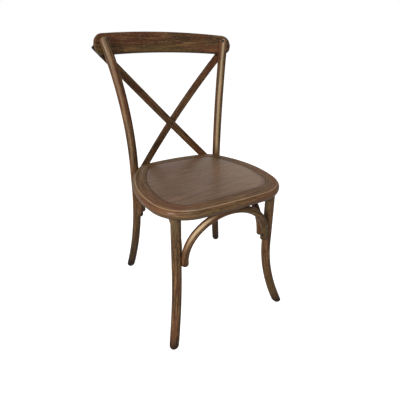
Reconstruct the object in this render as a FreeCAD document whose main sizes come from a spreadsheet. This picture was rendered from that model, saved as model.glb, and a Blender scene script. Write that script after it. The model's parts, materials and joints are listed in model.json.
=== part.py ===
import FreeCAD, Part
import math
import os

import Sketcher
from FreeCAD import Placement, Rotation, Vector

# Cross back dining chair of bent wood: two bowed rear legs that run up into the back,
# two sabre front legs, a rounded seat ring with a pressed panel, four hoop braces,
# a curved crest rail and two crossed slats. Millimetres and degrees.
# The chair faces -Y, +X is at its left hand, +Z is up and the floor is z = 0.

# Driving sizes
SIZES = {
    "seat_height": 457,
    "seat_thickness": 32,
    "seat_half_width": 229,
    "seat_widest_behind_front": 175.7,
    "seat_front_reach": 216,
    "seat_back_reach": 207.5,
    "seat_side_radius": 367,
    "seat_front_radius": 2450,
    "seat_back_radius": 660,
    "seat_front_corner": 121,
    "seat_back_corner": 60,
    "seat_top_round": 13,
    "seat_edge_flat": 2,
    "ring_band": 44,
    "ring_lip": 30,
    "panel_thickness": 9,
    "panel_clearance": 0.3,
    "panel_edge_round": 1.5,
    "panel_dish_depth": 4,
    "panel_dish_radius": 140,
    "leg_diameter": 30.2,
    "rear_leg_half_spacing": 172.8,
    "rear_leg_behind_centre": 178.2,
    "rear_leg_turn": 43.3,
    "rear_leg_bend": 1250,
    "rear_leg_straight_below_seat": 47.5,
    "post_bend": 1274,
    "post_above_seat": 420.2,
    "post_top_round": 11,
    "front_leg_half_spacing": 165.6,
    "front_leg_before_centre": 165.6,
    "front_leg_turn": 37,
    "front_leg_bend": 510.7,
    "front_leg_bend_height": 234.5,
    "front_leg_drift": 4.7,
    "front_leg_housing": 2,
    "tenon_diameter": 20,
    "tenon_length": 14,
    "foot_round": 4,
    "foot_trim_reach": 200,
    "arch_diameter": 23,
    "arch_cope": 2,
    "arch_flat": 1.5,
    "arch_rise": 130,
    "arch_crown_lift": 10,
    "arch_tail": 20,
    "arch_end_round": 5,
    "front_arch_turn": 26,
    "rear_arch_turn": 15.5,
    "side_arch_front_turn": 54,
    "side_arch_rear_turn": 78.5,
    "front_arch_lean": 3,
    "rear_arch_lean": 0,
    "side_arch_lean": -5.3,
    "crest_height": 66.5,
    "crest_thickness": 18,
    "crest_half_length": 251.7,
    "crest_middle_above_seat": 411,
    "crest_bend": 870,
    "crest_top_arch": 1620,
    "crest_bottom_arch": 1870,
    "crest_lean": 10.4,
    "crest_housing": 1.5,
    "crest_end_flat": 5.5,
    "crest_edge_round": 5,
    "crest_blank_height": 125,
    "crest_blank_half_length": 290,
    "crest_trim_reach": 330,
    "slat_width": 28,
    "slat_thickness": 9,
    "slat_housing": 2,
    "slat_rise_angle": 47.6,
    "crossing_above_seat": 128.9,
    "slat_head_spread": 217.5,
    "slat_tip_spread": 248,
    "slat_belly": 15.6,
    "slat_end_below_seat_top": 24,
    "screw_diameter": 4,
    "screw_head_diameter": 8.5,
    "screw_head_height": 2.8,
    "counterbore_diameter": 10,
    "counterbore_depth": 4,
    "bolt_diameter": 6,
    "bolt_head_diameter": 13,
    "bolt_head_height": 4,
    "bolt_counterbore_diameter": 15,
    "bolt_counterbore_depth": 5,
    "fastener_clearance": 0.15,
    "screw_bite": 16,
    "bolt_bite": 26,
    "crest_screw_bite": 10.8,
    "crossing_screw_length": 15.8,
    "crest_screw_rise": 15.5,
    "arch_screw_above_end": 22,
    "side_screw_above_end": 11,
    "arch_screw_bite": 11,
    "glide_diameter": 20,
    "glide_height": 5,
    "glide_round": 1.5,
    "glide_pin_diameter": 3,
    "glide_pin_length": 14,
    "origin_shift_back": 29.1,
}

# Places closer together than this count as one
NEAR = 0.01

doc = FreeCAD.newDocument("cross_back_chair")
sheet = doc.addObject("Spreadsheet::Sheet", "sizes")
for row, (word, number) in enumerate(SIZES.items(), start=1):
    sheet.set(f"A{row}", word)
    sheet.set(f"B{row}", str(number))
    sheet.setAlias(f"B{row}", word)
doc.recompute()


def size(word):
    return float(sheet.get(word))


def bow(radius, rise):
    """How far an arc that starts upright has moved sideways after this rise."""
    return radius - math.sqrt(radius**2 - rise**2)


def spot(x, y, z):
    """A place given from the seat's middle, moved so that the chair is centred on the origin."""
    return Vector(x, y - size("origin_shift_back"), z)


# Small makers for bodies, sketches and constraints

parts = {}


def new_body(name):
    return doc.addObject("PartDesign::Body", name)


def flat_sketch(body, name, role):
    plane = next(item for item in body.Origin.OriginFeatures if item.Role == role)
    sketch = body.newObject("Sketcher::SketchObject", name)
    sketch.AttachmentSupport = [(plane, "")]
    sketch.MapMode = "FlatFace"
    return sketch


def hold(sketch, kind, *where, by=None):
    """Adds a constraint. The words in by are the expression that drives its value."""
    index = sketch.addConstraint(Sketcher.Constraint(kind, *where))
    if by is not None:
        sketch.setExpression(f"Constraints[{index}]", by)
    return index


def arc(sketch, centre, radius, start, end):
    circle = Part.Circle(Vector(centre[0], centre[1], 0), Vector(0, 0, 1), radius)
    return sketch.addGeometry(Part.ArcOfCircle(circle, start, end))


def line(sketch, start, end):
    return sketch.addGeometry(Part.LineSegment(Vector(start[0], start[1], 0), Vector(end[0], end[1], 0)))


def disc(sketch, diameter_by, radius):
    circle = sketch.addGeometry(Part.Circle(Vector(0, 0, 0), Vector(0, 0, 1), radius))
    hold(sketch, "Coincident", circle, 3, -1, 1)
    hold(sketch, "Diameter", circle, 2 * radius, by=diameter_by)
    return circle


def add(body, kind, name, **values):
    feature = body.newObject(kind, name)
    for key, value in values.items():
        setattr(feature, key, value)
    doc.recompute()
    return feature


def edges_where(shape, test):
    return [f"Edge{number}" for number, edge in enumerate(shape.Edges, start=1) if test(edge)]


def round_edges(body, name, test, radius):
    """Rounds the edges that pass a test. The radius is a number or the word of a size."""
    base = body.Tip
    fillet = body.newObject("PartDesign::Fillet", name)
    fillet.Base = (base, edges_where(base.Shape, test))
    if isinstance(radius, str):
        fillet.Radius = size(radius)
        fillet.setExpression("Radius", "sizes." + radius)
    else:
        fillet.Radius = radius
    doc.recompute()
    return fillet


def cut_below(body, name, height_by):
    """Cuts everything under a level plane away, so that a foot is flat."""
    reach, level = size("foot_trim_reach"), size(height_by)
    sketch = flat_sketch(body, name + "_outline", "XZ_Plane")
    bottom = line(sketch, (-reach, -reach), (reach, -reach))
    right = line(sketch, (reach, -reach), (reach, level))
    top = line(sketch, (reach, level), (-reach, level))
    left = line(sketch, (-reach, level), (-reach, -reach))
    for first, second in ((bottom, right), (right, top), (top, left), (left, bottom)):
        hold(sketch, "Coincident", first, 2, second, 1)
    for level_line in (bottom, top):
        hold(sketch, "Horizontal", level_line)
    for upright in (right, left):
        hold(sketch, "Vertical", upright)
    hold(sketch, "DistanceY", -1, 1, top, 1, level, by="sizes." + height_by)
    hold(sketch, "DistanceY", bottom, 1, -1, 1, reach, by="sizes.foot_trim_reach")
    hold(sketch, "DistanceX", left, 1, -1, 1, reach, by="sizes.foot_trim_reach")
    hold(sketch, "DistanceX", -1, 1, right, 1, reach, by="sizes.foot_trim_reach")
    add(body, "PartDesign::Pocket", name, Profile=sketch, Type=1, Midplane=True)


# Seat outline: eight arcs that meet tangentially, the same centres for every inset line


def corner_centre(first, second, radius):
    """The centre of a corner arc that lies inside two larger arcs, on the +X side."""
    (x1, y1, r1), (x2, y2, r2) = first, second
    reach1, reach2 = r1 - radius, r2 - radius
    apart = math.hypot(x2 - x1, y2 - y1)
    along = (reach1**2 - reach2**2 + apart**2) / (2 * apart)
    aside = math.sqrt(reach1**2 - along**2)
    ux, uy = (x2 - x1) / apart, (y2 - y1) / apart
    foot = (x1 + ux * along, y1 + uy * along)
    return max((foot[0] - uy * aside, foot[1] + ux * aside), (foot[0] + uy * aside, foot[1] - ux * aside))


def seat_arcs():
    widest = size("seat_widest_behind_front") - size("seat_front_reach")
    side = (size("seat_half_width") - size("seat_side_radius"), widest, size("seat_side_radius"))
    back = (0.0, size("seat_back_reach") - size("seat_back_radius"), size("seat_back_radius"))
    front = (0.0, size("seat_front_radius") - size("seat_front_reach"), size("seat_front_radius"))
    back_corner = (*corner_centre(back, side, size("seat_back_corner")), size("seat_back_corner"))
    front_corner = (*corner_centre(front, side, size("seat_front_corner")), size("seat_front_corner"))
    return side, back, front, back_corner, front_corner


def heading(centre, point):
    return math.atan2(point[1] - centre[1], point[0] - centre[0])


def mirrored(centre):
    return -centre[0], centre[1]


def seat_outline(sketch, inset_by, inset):
    """Draws the closed seat outline in a sketch, moved inwards by an inset."""
    side, back, front, back_corner, front_corner = seat_arcs()
    turn_a = heading(front, front_corner)
    turn_b = heading(side, front_corner)
    turn_c = heading(side, back_corner)
    turn_d = heading(back, back_corner)
    half = math.pi
    ring = [
        arc(sketch, front_corner, front_corner[2] - inset, turn_a, turn_b),
        arc(sketch, side, side[2] - inset, turn_b, turn_c),
        arc(sketch, back_corner, back_corner[2] - inset, turn_c, turn_d),
        arc(sketch, back, back[2] - inset, turn_d, half - turn_d),
        arc(sketch, mirrored(back_corner), back_corner[2] - inset, half - turn_d, half - turn_c),
        arc(sketch, mirrored(side), side[2] - inset, half - turn_c, half - turn_b),
        arc(sketch, mirrored(front_corner), front_corner[2] - inset, half - turn_b, half - turn_a),
        arc(sketch, front, front[2] - inset, -half - turn_a, turn_a),
    ]
    for number, first in enumerate(ring):
        hold(sketch, "Tangent", first, 2, ring[(number + 1) % len(ring)], 1)
    radii = ["front_corner", "side_radius", "back_corner", "back_radius",
             "back_corner", "side_radius", "front_corner", "front_radius"]
    for number, word in zip(ring, radii):
        now = size("seat_" + word) - inset
        hold(sketch, "Radius", number, now, by=f"sizes.seat_{word} - {inset_by}")
    front_up = "sizes.seat_front_radius - sizes.seat_front_reach"
    back_down = "sizes.seat_back_radius - sizes.seat_back_reach"
    side_in = "sizes.seat_side_radius - sizes.seat_half_width"
    side_down = "sizes.seat_front_reach - sizes.seat_widest_behind_front"
    hold(sketch, "PointOnObject", ring[7], 3, -2)
    hold(sketch, "DistanceY", -1, 1, ring[7], 3, front[1], by=front_up)
    hold(sketch, "PointOnObject", ring[3], 3, -2)
    hold(sketch, "DistanceY", ring[3], 3, -1, 1, -back[1], by=back_down)
    for number, start, end in ((ring[1], (ring[1], 3), (-1, 1)), (ring[5], (-1, 1), (ring[5], 3))):
        hold(sketch, "DistanceX", *start, *end, -side[0], by=side_in)
        hold(sketch, "DistanceY", number, 3, -1, 1, -side[1], by=side_down)


def back_arc_at(x):
    """The arc that the seat's back edge follows at this distance from the middle line."""
    _, back, _, back_corner, _ = seat_arcs()
    meeting = back_corner[0] * back[2] / (back[2] - back_corner[2])
    return back_corner if x > meeting else back


def outline_at(x):
    """How far back the seat's edge lies at this distance from the middle line."""
    centre_x, centre_y, radius = back_arc_at(x)
    return centre_y + math.sqrt(radius**2 - (x - centre_x) ** 2)


def edge_turn(x):
    """How far the seat's back edge has turned from square at this distance from the middle."""
    centre_x, _, radius = back_arc_at(x)
    return math.asin((x - centre_x) / radius)


def flat_edge(level):
    """A test for the edges that lie at one height."""
    return lambda edge: edge.BoundBox.ZLength < NEAR and abs(edge.BoundBox.ZMin - level) < NEAR


def highest_ring(shape):
    """A test for the closed edge round the upper end of a rod."""
    highest = max(edge.CenterOfMass.z for edge in shape.Edges if edge.isClosed())
    return lambda edge: edge.isClosed() and edge.CenterOfMass.z > highest - NEAR


def lowest_rings(shape):
    """A test for the closed edges round the lower ends of a rod."""
    lowest = min(edge.CenterOfMass.z for edge in shape.Edges if edge.isClosed())
    return lambda edge: edge.isClosed() and edge.CenterOfMass.z < lowest + NEAR


# Seat ring: outline, opening, rebate for the panel, rounded edges


def make_seat_ring():
    body = new_body("seat_ring_body")
    body.Placement.Base = spot(0, 0, size("seat_height") - size("seat_thickness"))
    body.setExpression("Placement.Base.z", "sizes.seat_height - sizes.seat_thickness")
    outer = flat_sketch(body, "seat_edge", "XY_Plane")
    seat_outline(outer, "0", 0)
    pad = add(body, "PartDesign::Pad", "seat_board", Profile=outer, Length=size("seat_thickness"))
    pad.setExpression("Length", "sizes.seat_thickness")
    doc.recompute()
    full = pad.Shape.Volume
    thick = size("seat_thickness")
    round_edges(body, "seat_top_edge", flat_edge(thick), "seat_top_round")
    below = thick - size("seat_top_round") - size("seat_edge_flat")
    below_by = "sizes.seat_thickness - sizes.seat_top_round - sizes.seat_edge_flat"
    bottom_edge = round_edges(body, "seat_bottom_edge", flat_edge(0), below)
    bottom_edge.setExpression("Radius", below_by)

    opening = flat_sketch(body, "ring_opening", "XY_Plane")
    reach = min(size("seat_half_width"), size("seat_front_reach"), size("seat_back_reach"))
    reach_by = "min(sizes.seat_half_width; sizes.seat_front_reach; sizes.seat_back_reach)"
    solid = size("ring_band") + size("ring_lip")
    disc(opening, f"2 * ({reach_by} - sizes.ring_band - sizes.ring_lip)", reach - solid)
    add(body, "PartDesign::Pocket", "opening", Profile=opening, Type=1, Midplane=True)

    rebate = flat_sketch(body, "panel_rebate", "XY_Plane")
    seat_outline(rebate, "sizes.ring_band", size("ring_band"))
    rebate.AttachmentOffset = Placement(Vector(0, 0, thick), Rotation())
    rebate.setExpression("AttachmentOffset.Base.z", "sizes.seat_thickness")
    step = add(body, "PartDesign::Pocket", "rebate", Profile=rebate, Length=size("panel_thickness"))
    step.setExpression("Length", "sizes.panel_thickness")
    doc.recompute()
    assert step.Shape.Volume < full, "the rebate cuts nothing"
    return body


# Seat panel: a board that lies on the ring's lip, with a shallow dish pressed in


def make_seat_panel():
    body = new_body("seat_panel_body")
    body.Placement.Base = spot(0, 0, size("seat_height") - size("panel_thickness"))
    body.setExpression("Placement.Base.z", "sizes.seat_height - sizes.panel_thickness")
    edge = flat_sketch(body, "panel_edge", "XY_Plane")
    inset = size("ring_band") + size("panel_clearance")
    seat_outline(edge, "(sizes.ring_band + sizes.panel_clearance)", inset)
    board = add(body, "PartDesign::Pad", "panel_board", Profile=edge, Length=size("panel_thickness"))
    board.setExpression("Length", "sizes.panel_thickness")
    doc.recompute()
    top = size("panel_thickness")
    round_edges(body, "panel_top_edge", flat_edge(top), "panel_edge_round")
    full = body.Tip.Shape.Volume

    depth, reach = size("panel_dish_depth"), size("panel_dish_radius")
    ball = (reach**2 + depth**2) / (2 * depth)
    dish = flat_sketch(body, "dish_section", "XZ_Plane")
    floor_arc = arc(dish, (0, top - depth + ball), ball, -math.pi / 2, -math.pi / 2 + math.asin(reach / ball))
    rim = line(dish, (reach, top), (0, top))
    axis = line(dish, (0, top), (0, top - depth))
    hold(dish, "Coincident", floor_arc, 2, rim, 1)
    hold(dish, "Coincident", rim, 2, axis, 1)
    hold(dish, "Coincident", axis, 2, floor_arc, 1)
    hold(dish, "Horizontal", rim)
    hold(dish, "PointOnObject", axis, 1, -2)
    hold(dish, "PointOnObject", axis, 2, -2)
    hold(dish, "PointOnObject", floor_arc, 3, -2)
    hold(dish, "DistanceY", -1, 1, axis, 1, top, by="sizes.panel_thickness")
    hold(dish, "DistanceY", axis, 2, axis, 1, depth, by="sizes.panel_dish_depth")
    hold(dish, "DistanceX", rim, 2, rim, 1, reach, by="sizes.panel_dish_radius")
    add(body, "PartDesign::Groove", "dish", Profile=dish, ReferenceAxis=(dish, ["V_Axis"]), Angle=360)
    assert body.Tip.Shape.Volume < full, "the dish cuts nothing"
    return body


# Legs: round rods along bent lines, made in their own upright plane and then turned


def rod_section(body, name, path, parameter, diameter_by):
    section = body.newObject("Sketcher::SketchObject", name)
    section.AttachmentSupport = [(path, "Edge1")]
    section.MapMode = "NormalToEdge"
    section.MapPathParameter = parameter
    disc(section, "sizes." + diameter_by, size(diameter_by) / 2)
    return section


def sweep_rod(body, name, path, parameter, diameter_by):
    section = rod_section(body, name + "_section", path, parameter, diameter_by)
    doc.recompute()
    spine = [f"Edge{number}" for number in range(1, len(path.Shape.Edges) + 1)]
    return add(body, "PartDesign::AdditivePipe", name, Profile=section, Spine=(path, spine))


def make_rear_leg(name, side):
    body = new_body(name + "_body")
    low = size("seat_height") - size("seat_thickness") - size("rear_leg_straight_below_seat")
    high = size("seat_height")
    over = size("leg_diameter") / 2
    leg_bend, post_bend = size("rear_leg_bend"), size("post_bend")
    rise = size("post_above_seat")
    half = math.pi
    path = flat_sketch(body, name + "_line", "XZ_Plane")
    lower = arc(path, (leg_bend, low), leg_bend, half, half + math.asin((low + over) / leg_bend))
    middle = line(path, (0, low), (0, high))
    upper = arc(path, (post_bend, high), post_bend, half - math.asin(rise / post_bend), half)
    hold(path, "Tangent", lower, 1, middle, 1)
    hold(path, "Tangent", middle, 2, upper, 2)
    hold(path, "PointOnObject", middle, 1, -2)
    hold(path, "PointOnObject", middle, 2, -2)
    low_by = "sizes.seat_height - sizes.seat_thickness - sizes.rear_leg_straight_below_seat"
    hold(path, "DistanceY", -1, 1, middle, 1, low, by=low_by)
    hold(path, "DistanceY", -1, 1, middle, 2, high, by="sizes.seat_height")
    hold(path, "Radius", lower, leg_bend, by="sizes.rear_leg_bend")
    hold(path, "Radius", upper, post_bend, by="sizes.post_bend")
    hold(path, "DistanceY", lower, 2, -1, 1, over, by="sizes.leg_diameter / 2")
    hold(path, "DistanceY", middle, 2, upper, 1, rise, by="sizes.post_above_seat")
    doc.recompute()
    sweep_rod(body, name + "_rod", path, 1, "leg_diameter")
    round_edges(body, name + "_top", highest_ring(body.Tip.Shape), "post_top_round")
    cut_below(body, name + "_foot", "glide_height")
    round_edges(body, name + "_foot_edge", flat_edge(size("glide_height")), "foot_round")
    turn = 90 - size("rear_leg_turn")
    if side < 0:
        turn = 180 - turn
    place = spot(side * size("rear_leg_half_spacing"), size("rear_leg_behind_centre"), 0)
    body.Placement = Placement(place, Rotation(Vector(0, 0, 1), turn))
    return body


def make_front_leg(name, side):
    body = new_body(name + "_body")
    top = size("seat_height") - size("seat_thickness") + size("front_leg_housing")
    bend, bend_height, drift = size("front_leg_bend"), size("front_leg_bend_height"), size("front_leg_drift")
    lean = math.atan2(drift, top - bend_height)
    over = size("leg_diameter") / 2
    centre = (drift + bend * math.cos(lean), bend_height + bend * math.sin(lean))
    half = math.pi
    path = flat_sketch(body, name + "_line", "XZ_Plane")
    straight = line(path, (0, top), (drift, bend_height))
    curve = arc(path, centre, bend, half + lean, half + math.asin((centre[1] + over) / bend))
    hold(path, "Tangent", straight, 2, curve, 1)
    hold(path, "PointOnObject", straight, 1, -2)
    top_by = "sizes.seat_height - sizes.seat_thickness + sizes.front_leg_housing"
    hold(path, "DistanceY", -1, 1, straight, 1, top, by=top_by)
    hold(path, "DistanceY", -1, 1, straight, 2, bend_height, by="sizes.front_leg_bend_height")
    hold(path, "DistanceX", -1, 1, straight, 2, drift, by="sizes.front_leg_drift")
    hold(path, "Radius", curve, bend, by="sizes.front_leg_bend")
    hold(path, "DistanceY", curve, 2, -1, 1, over, by="sizes.leg_diameter / 2")
    doc.recompute()
    sweep_rod(body, name + "_rod", path, 0, "leg_diameter")
    tenon_end = flat_sketch(body, name + "_tenon_section", "XY_Plane")
    disc(tenon_end, "sizes.tenon_diameter", size("tenon_diameter") / 2)
    tenon_end.AttachmentOffset = Placement(Vector(0, 0, top - size("front_leg_housing")), Rotation())
    tenon_end.setExpression("AttachmentOffset.Base.z", top_by + " - sizes.front_leg_housing")
    tenon = add(body, "PartDesign::Pad", name + "_tenon", Profile=tenon_end, Length=size("tenon_length"))
    tenon.setExpression("Length", "sizes.tenon_length + sizes.front_leg_housing")
    doc.recompute()
    cut_below(body, name + "_foot", "glide_height")
    round_edges(body, name + "_foot_edge", flat_edge(size("glide_height")), "foot_round")
    turn = size("front_leg_turn") - 90
    if side < 0:
        turn = 180 - turn
    place = spot(side * size("front_leg_half_spacing"), -size("front_leg_before_centre"), 0)
    body.Placement = Placement(place, Rotation(Vector(0, 0, 1), turn))
    return body


# Where the bent rods stand at a given height, seen from above


def rear_leg_at(height, side):
    low = size("seat_height") - size("seat_thickness") - size("rear_leg_straight_below_seat")
    high = size("seat_height")
    out = 0.0
    if height < low:
        out = bow(size("rear_leg_bend"), low - height)
    if height > high:
        out = bow(size("post_bend"), height - high)
    turn = math.radians(size("rear_leg_turn"))
    x = size("rear_leg_half_spacing") + out * math.sin(turn)
    y = size("rear_leg_behind_centre") + out * math.cos(turn)
    return side * x, y


def front_leg_at(height, side):
    top = size("seat_height") - size("seat_thickness") + size("front_leg_housing")
    bend_height, drift = size("front_leg_bend_height"), size("front_leg_drift")
    if height >= bend_height:
        out = drift * (top - height) / (top - bend_height)
    else:
        lean = math.atan2(drift, top - bend_height)
        bend = size("front_leg_bend")
        drop = bend_height + bend * math.sin(lean) - height
        out = drift + bend * math.cos(lean) - math.sqrt(bend**2 - drop**2)
    turn = math.radians(size("front_leg_turn"))
    x = size("front_leg_half_spacing") + out * math.sin(turn)
    y = size("front_leg_before_centre") + out * math.cos(turn)
    return side * x, -y


def leg_at(row, height, side):
    return front_leg_at(height, side) if row == "front" else rear_leg_at(height, side)


# Braces: bent rods whose tails stand beside the legs and whose crowns meet the seat


def crown_height():
    underside = size("seat_height") - size("seat_thickness")
    return underside + size("arch_flat") - size("arch_diameter") / 2


def tail_beside(leg, turn, inward, forward):
    """The middle of a brace's tail, beside a leg, at an angle from straight inwards."""
    reach = (size("leg_diameter") + size("arch_diameter")) / 2 - size("arch_cope")
    turn = math.radians(turn)
    return leg[0] + inward * reach * math.cos(turn), leg[1] + forward * reach * math.sin(turn)


def spring_height():
    """Where the braces' straight tails end and their shoulders begin."""
    return crown_height() - size("arch_rise")


def arch_frame(first, second, lean_word):
    """The middle between two tails, the turn of the line through them and the way out."""
    middle = ((first[0] + second[0]) / 2, (first[1] + second[1]) / 2)
    turn = math.atan2(second[1] - first[1], second[0] - first[0])
    outward = Vector(math.sin(turn), -math.cos(turn), 0)
    return middle, turn, outward, math.radians(size(lean_word))


def make_arch(name, first, second, lean_word):
    """A brace of three arcs between two tails, leaned a little about the line where they begin."""
    body = new_body(name + "_body")
    half_span = math.hypot(second[0] - first[0], second[1] - first[1]) / 2
    rise = size("arch_rise")
    shoulder = rise - size("arch_crown_lift")
    level = spring_height()
    end = level - size("arch_tail")
    beside = half_span - shoulder
    crown_radius = (beside**2 + rise**2 - shoulder**2) / (2 * (rise - shoulder))
    swing = math.asin(beside / (crown_radius - shoulder))
    half = math.pi / 2
    path = flat_sketch(body, name + "_line", "XZ_Plane")
    up = line(path, (-half_span, end), (-half_span, level))
    one = arc(path, (-beside, level), shoulder, half + swing, 2 * half)
    crown = arc(path, (0, level + rise - crown_radius), crown_radius, half - swing, half + swing)
    other = arc(path, (beside, level), shoulder, 0, half - swing)
    down = line(path, (half_span, level), (half_span, end))
    hold(path, "Tangent", up, 2, one, 2)
    hold(path, "Tangent", one, 1, crown, 2)
    hold(path, "Tangent", crown, 1, other, 2)
    hold(path, "Tangent", other, 1, down, 1)
    hold(path, "Vertical", up)
    hold(path, "Vertical", down)
    hold(path, "Symmetric", one, 3, other, 3, -2)
    hold(path, "Equal", one, other)
    hold(path, "Radius", one, shoulder, by="sizes.arch_rise - sizes.arch_crown_lift")
    hold(path, "Radius", crown, crown_radius)
    hold(path, "DistanceX", up, 2, down, 1, 2 * half_span)
    level_by = ("sizes.seat_height - sizes.seat_thickness + sizes.arch_flat"
                " - sizes.arch_diameter / 2 - sizes.arch_rise")
    hold(path, "DistanceY", -1, 1, one, 3, level, by=level_by)
    hold(path, "DistanceY", up, 1, up, 2, size("arch_tail"), by="sizes.arch_tail")
    hold(path, "DistanceY", down, 2, down, 1, size("arch_tail"), by="sizes.arch_tail")
    doc.recompute()
    sweep_rod(body, name + "_rod", path, 0, "arch_diameter")
    round_edges(body, name + "_ends", lowest_rings(body.Tip.Shape), "arch_end_round")
    middle, turn, _, lean = arch_frame(first, second, lean_word)
    tilt = Rotation(Vector(0, 0, 1), math.degrees(turn)) * Rotation(Vector(1, 0, 0), math.degrees(lean))
    spring = Vector(0, 0, level)
    body.Placement = Placement(spot(*middle, level) - tilt.multVec(spring), tilt)
    return body


# Crest rail: a bent board with an arched top, in front of the slats and behind the posts


def crest_middle():
    return size("seat_height") + size("crest_middle_above_seat")


def crest_level(x):
    """The height of the middle of the crest board at this distance from its centre."""
    drop = (bow(size("crest_top_arch"), x) + bow(size("crest_bottom_arch"), x)) / 2
    return crest_middle() - drop


def crest_face(x, height):
    """How far back the crest's front face lies."""
    post_x, post_y = post_at_crest()
    lean = math.tan(math.radians(size("crest_lean")))
    start = post_y + size("leg_diameter") / 2 - size("crest_housing") + bow(size("crest_bend"), post_x)
    return start - bow(size("crest_bend"), x) + lean * (height - crest_level(post_x))


def post_at_crest():
    x, y = size("rear_leg_half_spacing"), 0.0
    for _ in range(4):
        x, y = rear_leg_at(crest_level(x), 1)
    return x, y


def make_crest():
    """A blank bent to an arc in plan, trimmed from the front to its arched outline."""
    body = new_body("crest_rail_body")
    bend, thick, half_length = size("crest_bend"), size("crest_thickness"), size("crest_half_length")
    blank = size("crest_blank_half_length")
    front_swing, back_swing = math.asin(blank / bend), math.asin(blank / (bend + thick))
    front_end, back_end = -bow(bend, blank), thick - bow(bend + thick, blank)
    half = math.pi
    plan = flat_sketch(body, "crest_plan", "XY_Plane")
    front = arc(plan, (0, -bend), bend, half / 2 - front_swing, half / 2 + front_swing)
    back = arc(plan, (0, -bend), bend + thick, half / 2 - back_swing, half / 2 + back_swing)
    left = line(plan, (blank, front_end), (blank, back_end))
    right = line(plan, (-blank, front_end), (-blank, back_end))
    hold(plan, "Coincident", front, 1, left, 1)
    hold(plan, "Coincident", back, 1, left, 2)
    hold(plan, "Coincident", front, 2, right, 1)
    hold(plan, "Coincident", back, 2, right, 2)
    hold(plan, "Coincident", front, 3, back, 3)
    hold(plan, "PointOnObject", front, 3, -2)
    hold(plan, "DistanceY", front, 3, -1, 1, bend, by="sizes.crest_bend")
    hold(plan, "Radius", front, bend, by="sizes.crest_bend")
    hold(plan, "Radius", back, bend + thick, by="sizes.crest_bend + sizes.crest_thickness")
    hold(plan, "Vertical", left)
    hold(plan, "Vertical", right)
    hold(plan, "DistanceX", -1, 1, front, 1, blank, by="sizes.crest_blank_half_length")
    hold(plan, "DistanceX", front, 2, -1, 1, blank, by="sizes.crest_blank_half_length")
    tall = size("crest_blank_height")
    board = add(body, "PartDesign::Pad", "crest_blank", Profile=plan, Length=tall, Midplane=True)
    board.setExpression("Length", "sizes.crest_blank_height")
    doc.recompute()
    full = board.Shape.Volume

    up, down = size("crest_height") / 2, -size("crest_height") / 2
    top_bend, bottom_bend = size("crest_top_arch"), size("crest_bottom_arch")
    top_end = up - bow(top_bend, half_length)
    bottom_end = down - bow(bottom_bend, half_length)
    top_swing = math.asin(half_length / top_bend)
    bottom_swing = math.asin(half_length / bottom_bend)
    reach = size("crest_trim_reach")
    face = flat_sketch(body, "crest_face_outline", "XZ_Plane")
    top = arc(face, (0, up - top_bend), top_bend, half / 2 - top_swing, half / 2 + top_swing)
    low = arc(face, (0, down - bottom_bend), bottom_bend, half / 2 - bottom_swing, half / 2 + bottom_swing)
    plus = line(face, (half_length, top_end), (half_length, bottom_end))
    minus = line(face, (-half_length, top_end), (-half_length, bottom_end))
    hold(face, "Coincident", top, 1, plus, 1)
    hold(face, "Coincident", low, 1, plus, 2)
    hold(face, "Coincident", top, 2, minus, 1)
    hold(face, "Coincident", low, 2, minus, 2)
    hold(face, "PointOnObject", top, 3, -2)
    hold(face, "PointOnObject", low, 3, -2)
    hold(face, "Vertical", plus)
    hold(face, "Vertical", minus)
    hold(face, "DistanceX", -1, 1, plus, 1, half_length, by="sizes.crest_half_length")
    hold(face, "DistanceX", minus, 1, -1, 1, half_length, by="sizes.crest_half_length")
    hold(face, "Radius", top, top_bend, by="sizes.crest_top_arch")
    hold(face, "Radius", low, bottom_bend, by="sizes.crest_bottom_arch")
    top_by = "sizes.crest_top_arch - sizes.crest_height / 2"
    low_by = "sizes.crest_bottom_arch + sizes.crest_height / 2"
    hold(face, "DistanceY", top, 3, -1, 1, top_bend - up, by=top_by)
    hold(face, "DistanceY", low, 3, -1, 1, bottom_bend - down, by=low_by)
    corners = [(-reach, -reach), (reach, -reach), (reach, reach), (-reach, reach)]
    frame = [line(face, corners[number], corners[(number + 1) % 4]) for number in range(4)]
    for number in range(4):
        hold(face, "Coincident", frame[number], 2, frame[(number + 1) % 4], 1)
    for number in (0, 2):
        hold(face, "Horizontal", frame[number])
        hold(face, "Vertical", frame[number + 1])
    reach_by = "sizes.crest_trim_reach"
    hold(face, "DistanceX", frame[0], 1, -1, 1, reach, by=reach_by)
    hold(face, "DistanceX", -1, 1, frame[0], 2, reach, by=reach_by)
    hold(face, "DistanceY", frame[0], 1, -1, 1, reach, by=reach_by)
    hold(face, "DistanceY", -1, 1, frame[2], 1, reach, by=reach_by)
    add(body, "PartDesign::Pocket", "crest_trim", Profile=face, Type=1, Midplane=True)
    assert body.Tip.Shape.Volume < full, "the crest trim cuts nothing"

    def through_end(edge):
        box = edge.BoundBox
        at_end = abs(abs(edge.CenterOfMass.x) - half_length) < NEAR
        return at_end and box.XLength < NEAR and box.ZLength < NEAR

    def along_board(edge):
        return edge.Length > half_length

    round_edges(body, "crest_ends", through_end, (top_end - bottom_end - size("crest_end_flat")) / 2)
    round_edges(body, "crest_edges", along_board, "crest_edge_round")

    place = spot(0, crest_face(0, crest_middle()), crest_middle())
    body.Placement = Placement(place, Rotation(Vector(1, 0, 0), -size("crest_lean")))
    return body


# Crossed slats: round-edged strips that turn with the curved crest above and the seat's edge below


def slat_stations():
    """Places down the middle of a slat: foot end, foot, crossing, head and head end."""
    rise = math.tan(math.radians(size("slat_rise_angle")))
    foot_x = (size("crossing_above_seat") + size("seat_thickness") / 2) / rise
    end_x = (size("crossing_above_seat") + size("slat_end_below_seat_top")) / rise
    return -end_x, -foot_x, 0.0, size("slat_head_spread"), size("slat_tip_spread")


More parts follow.
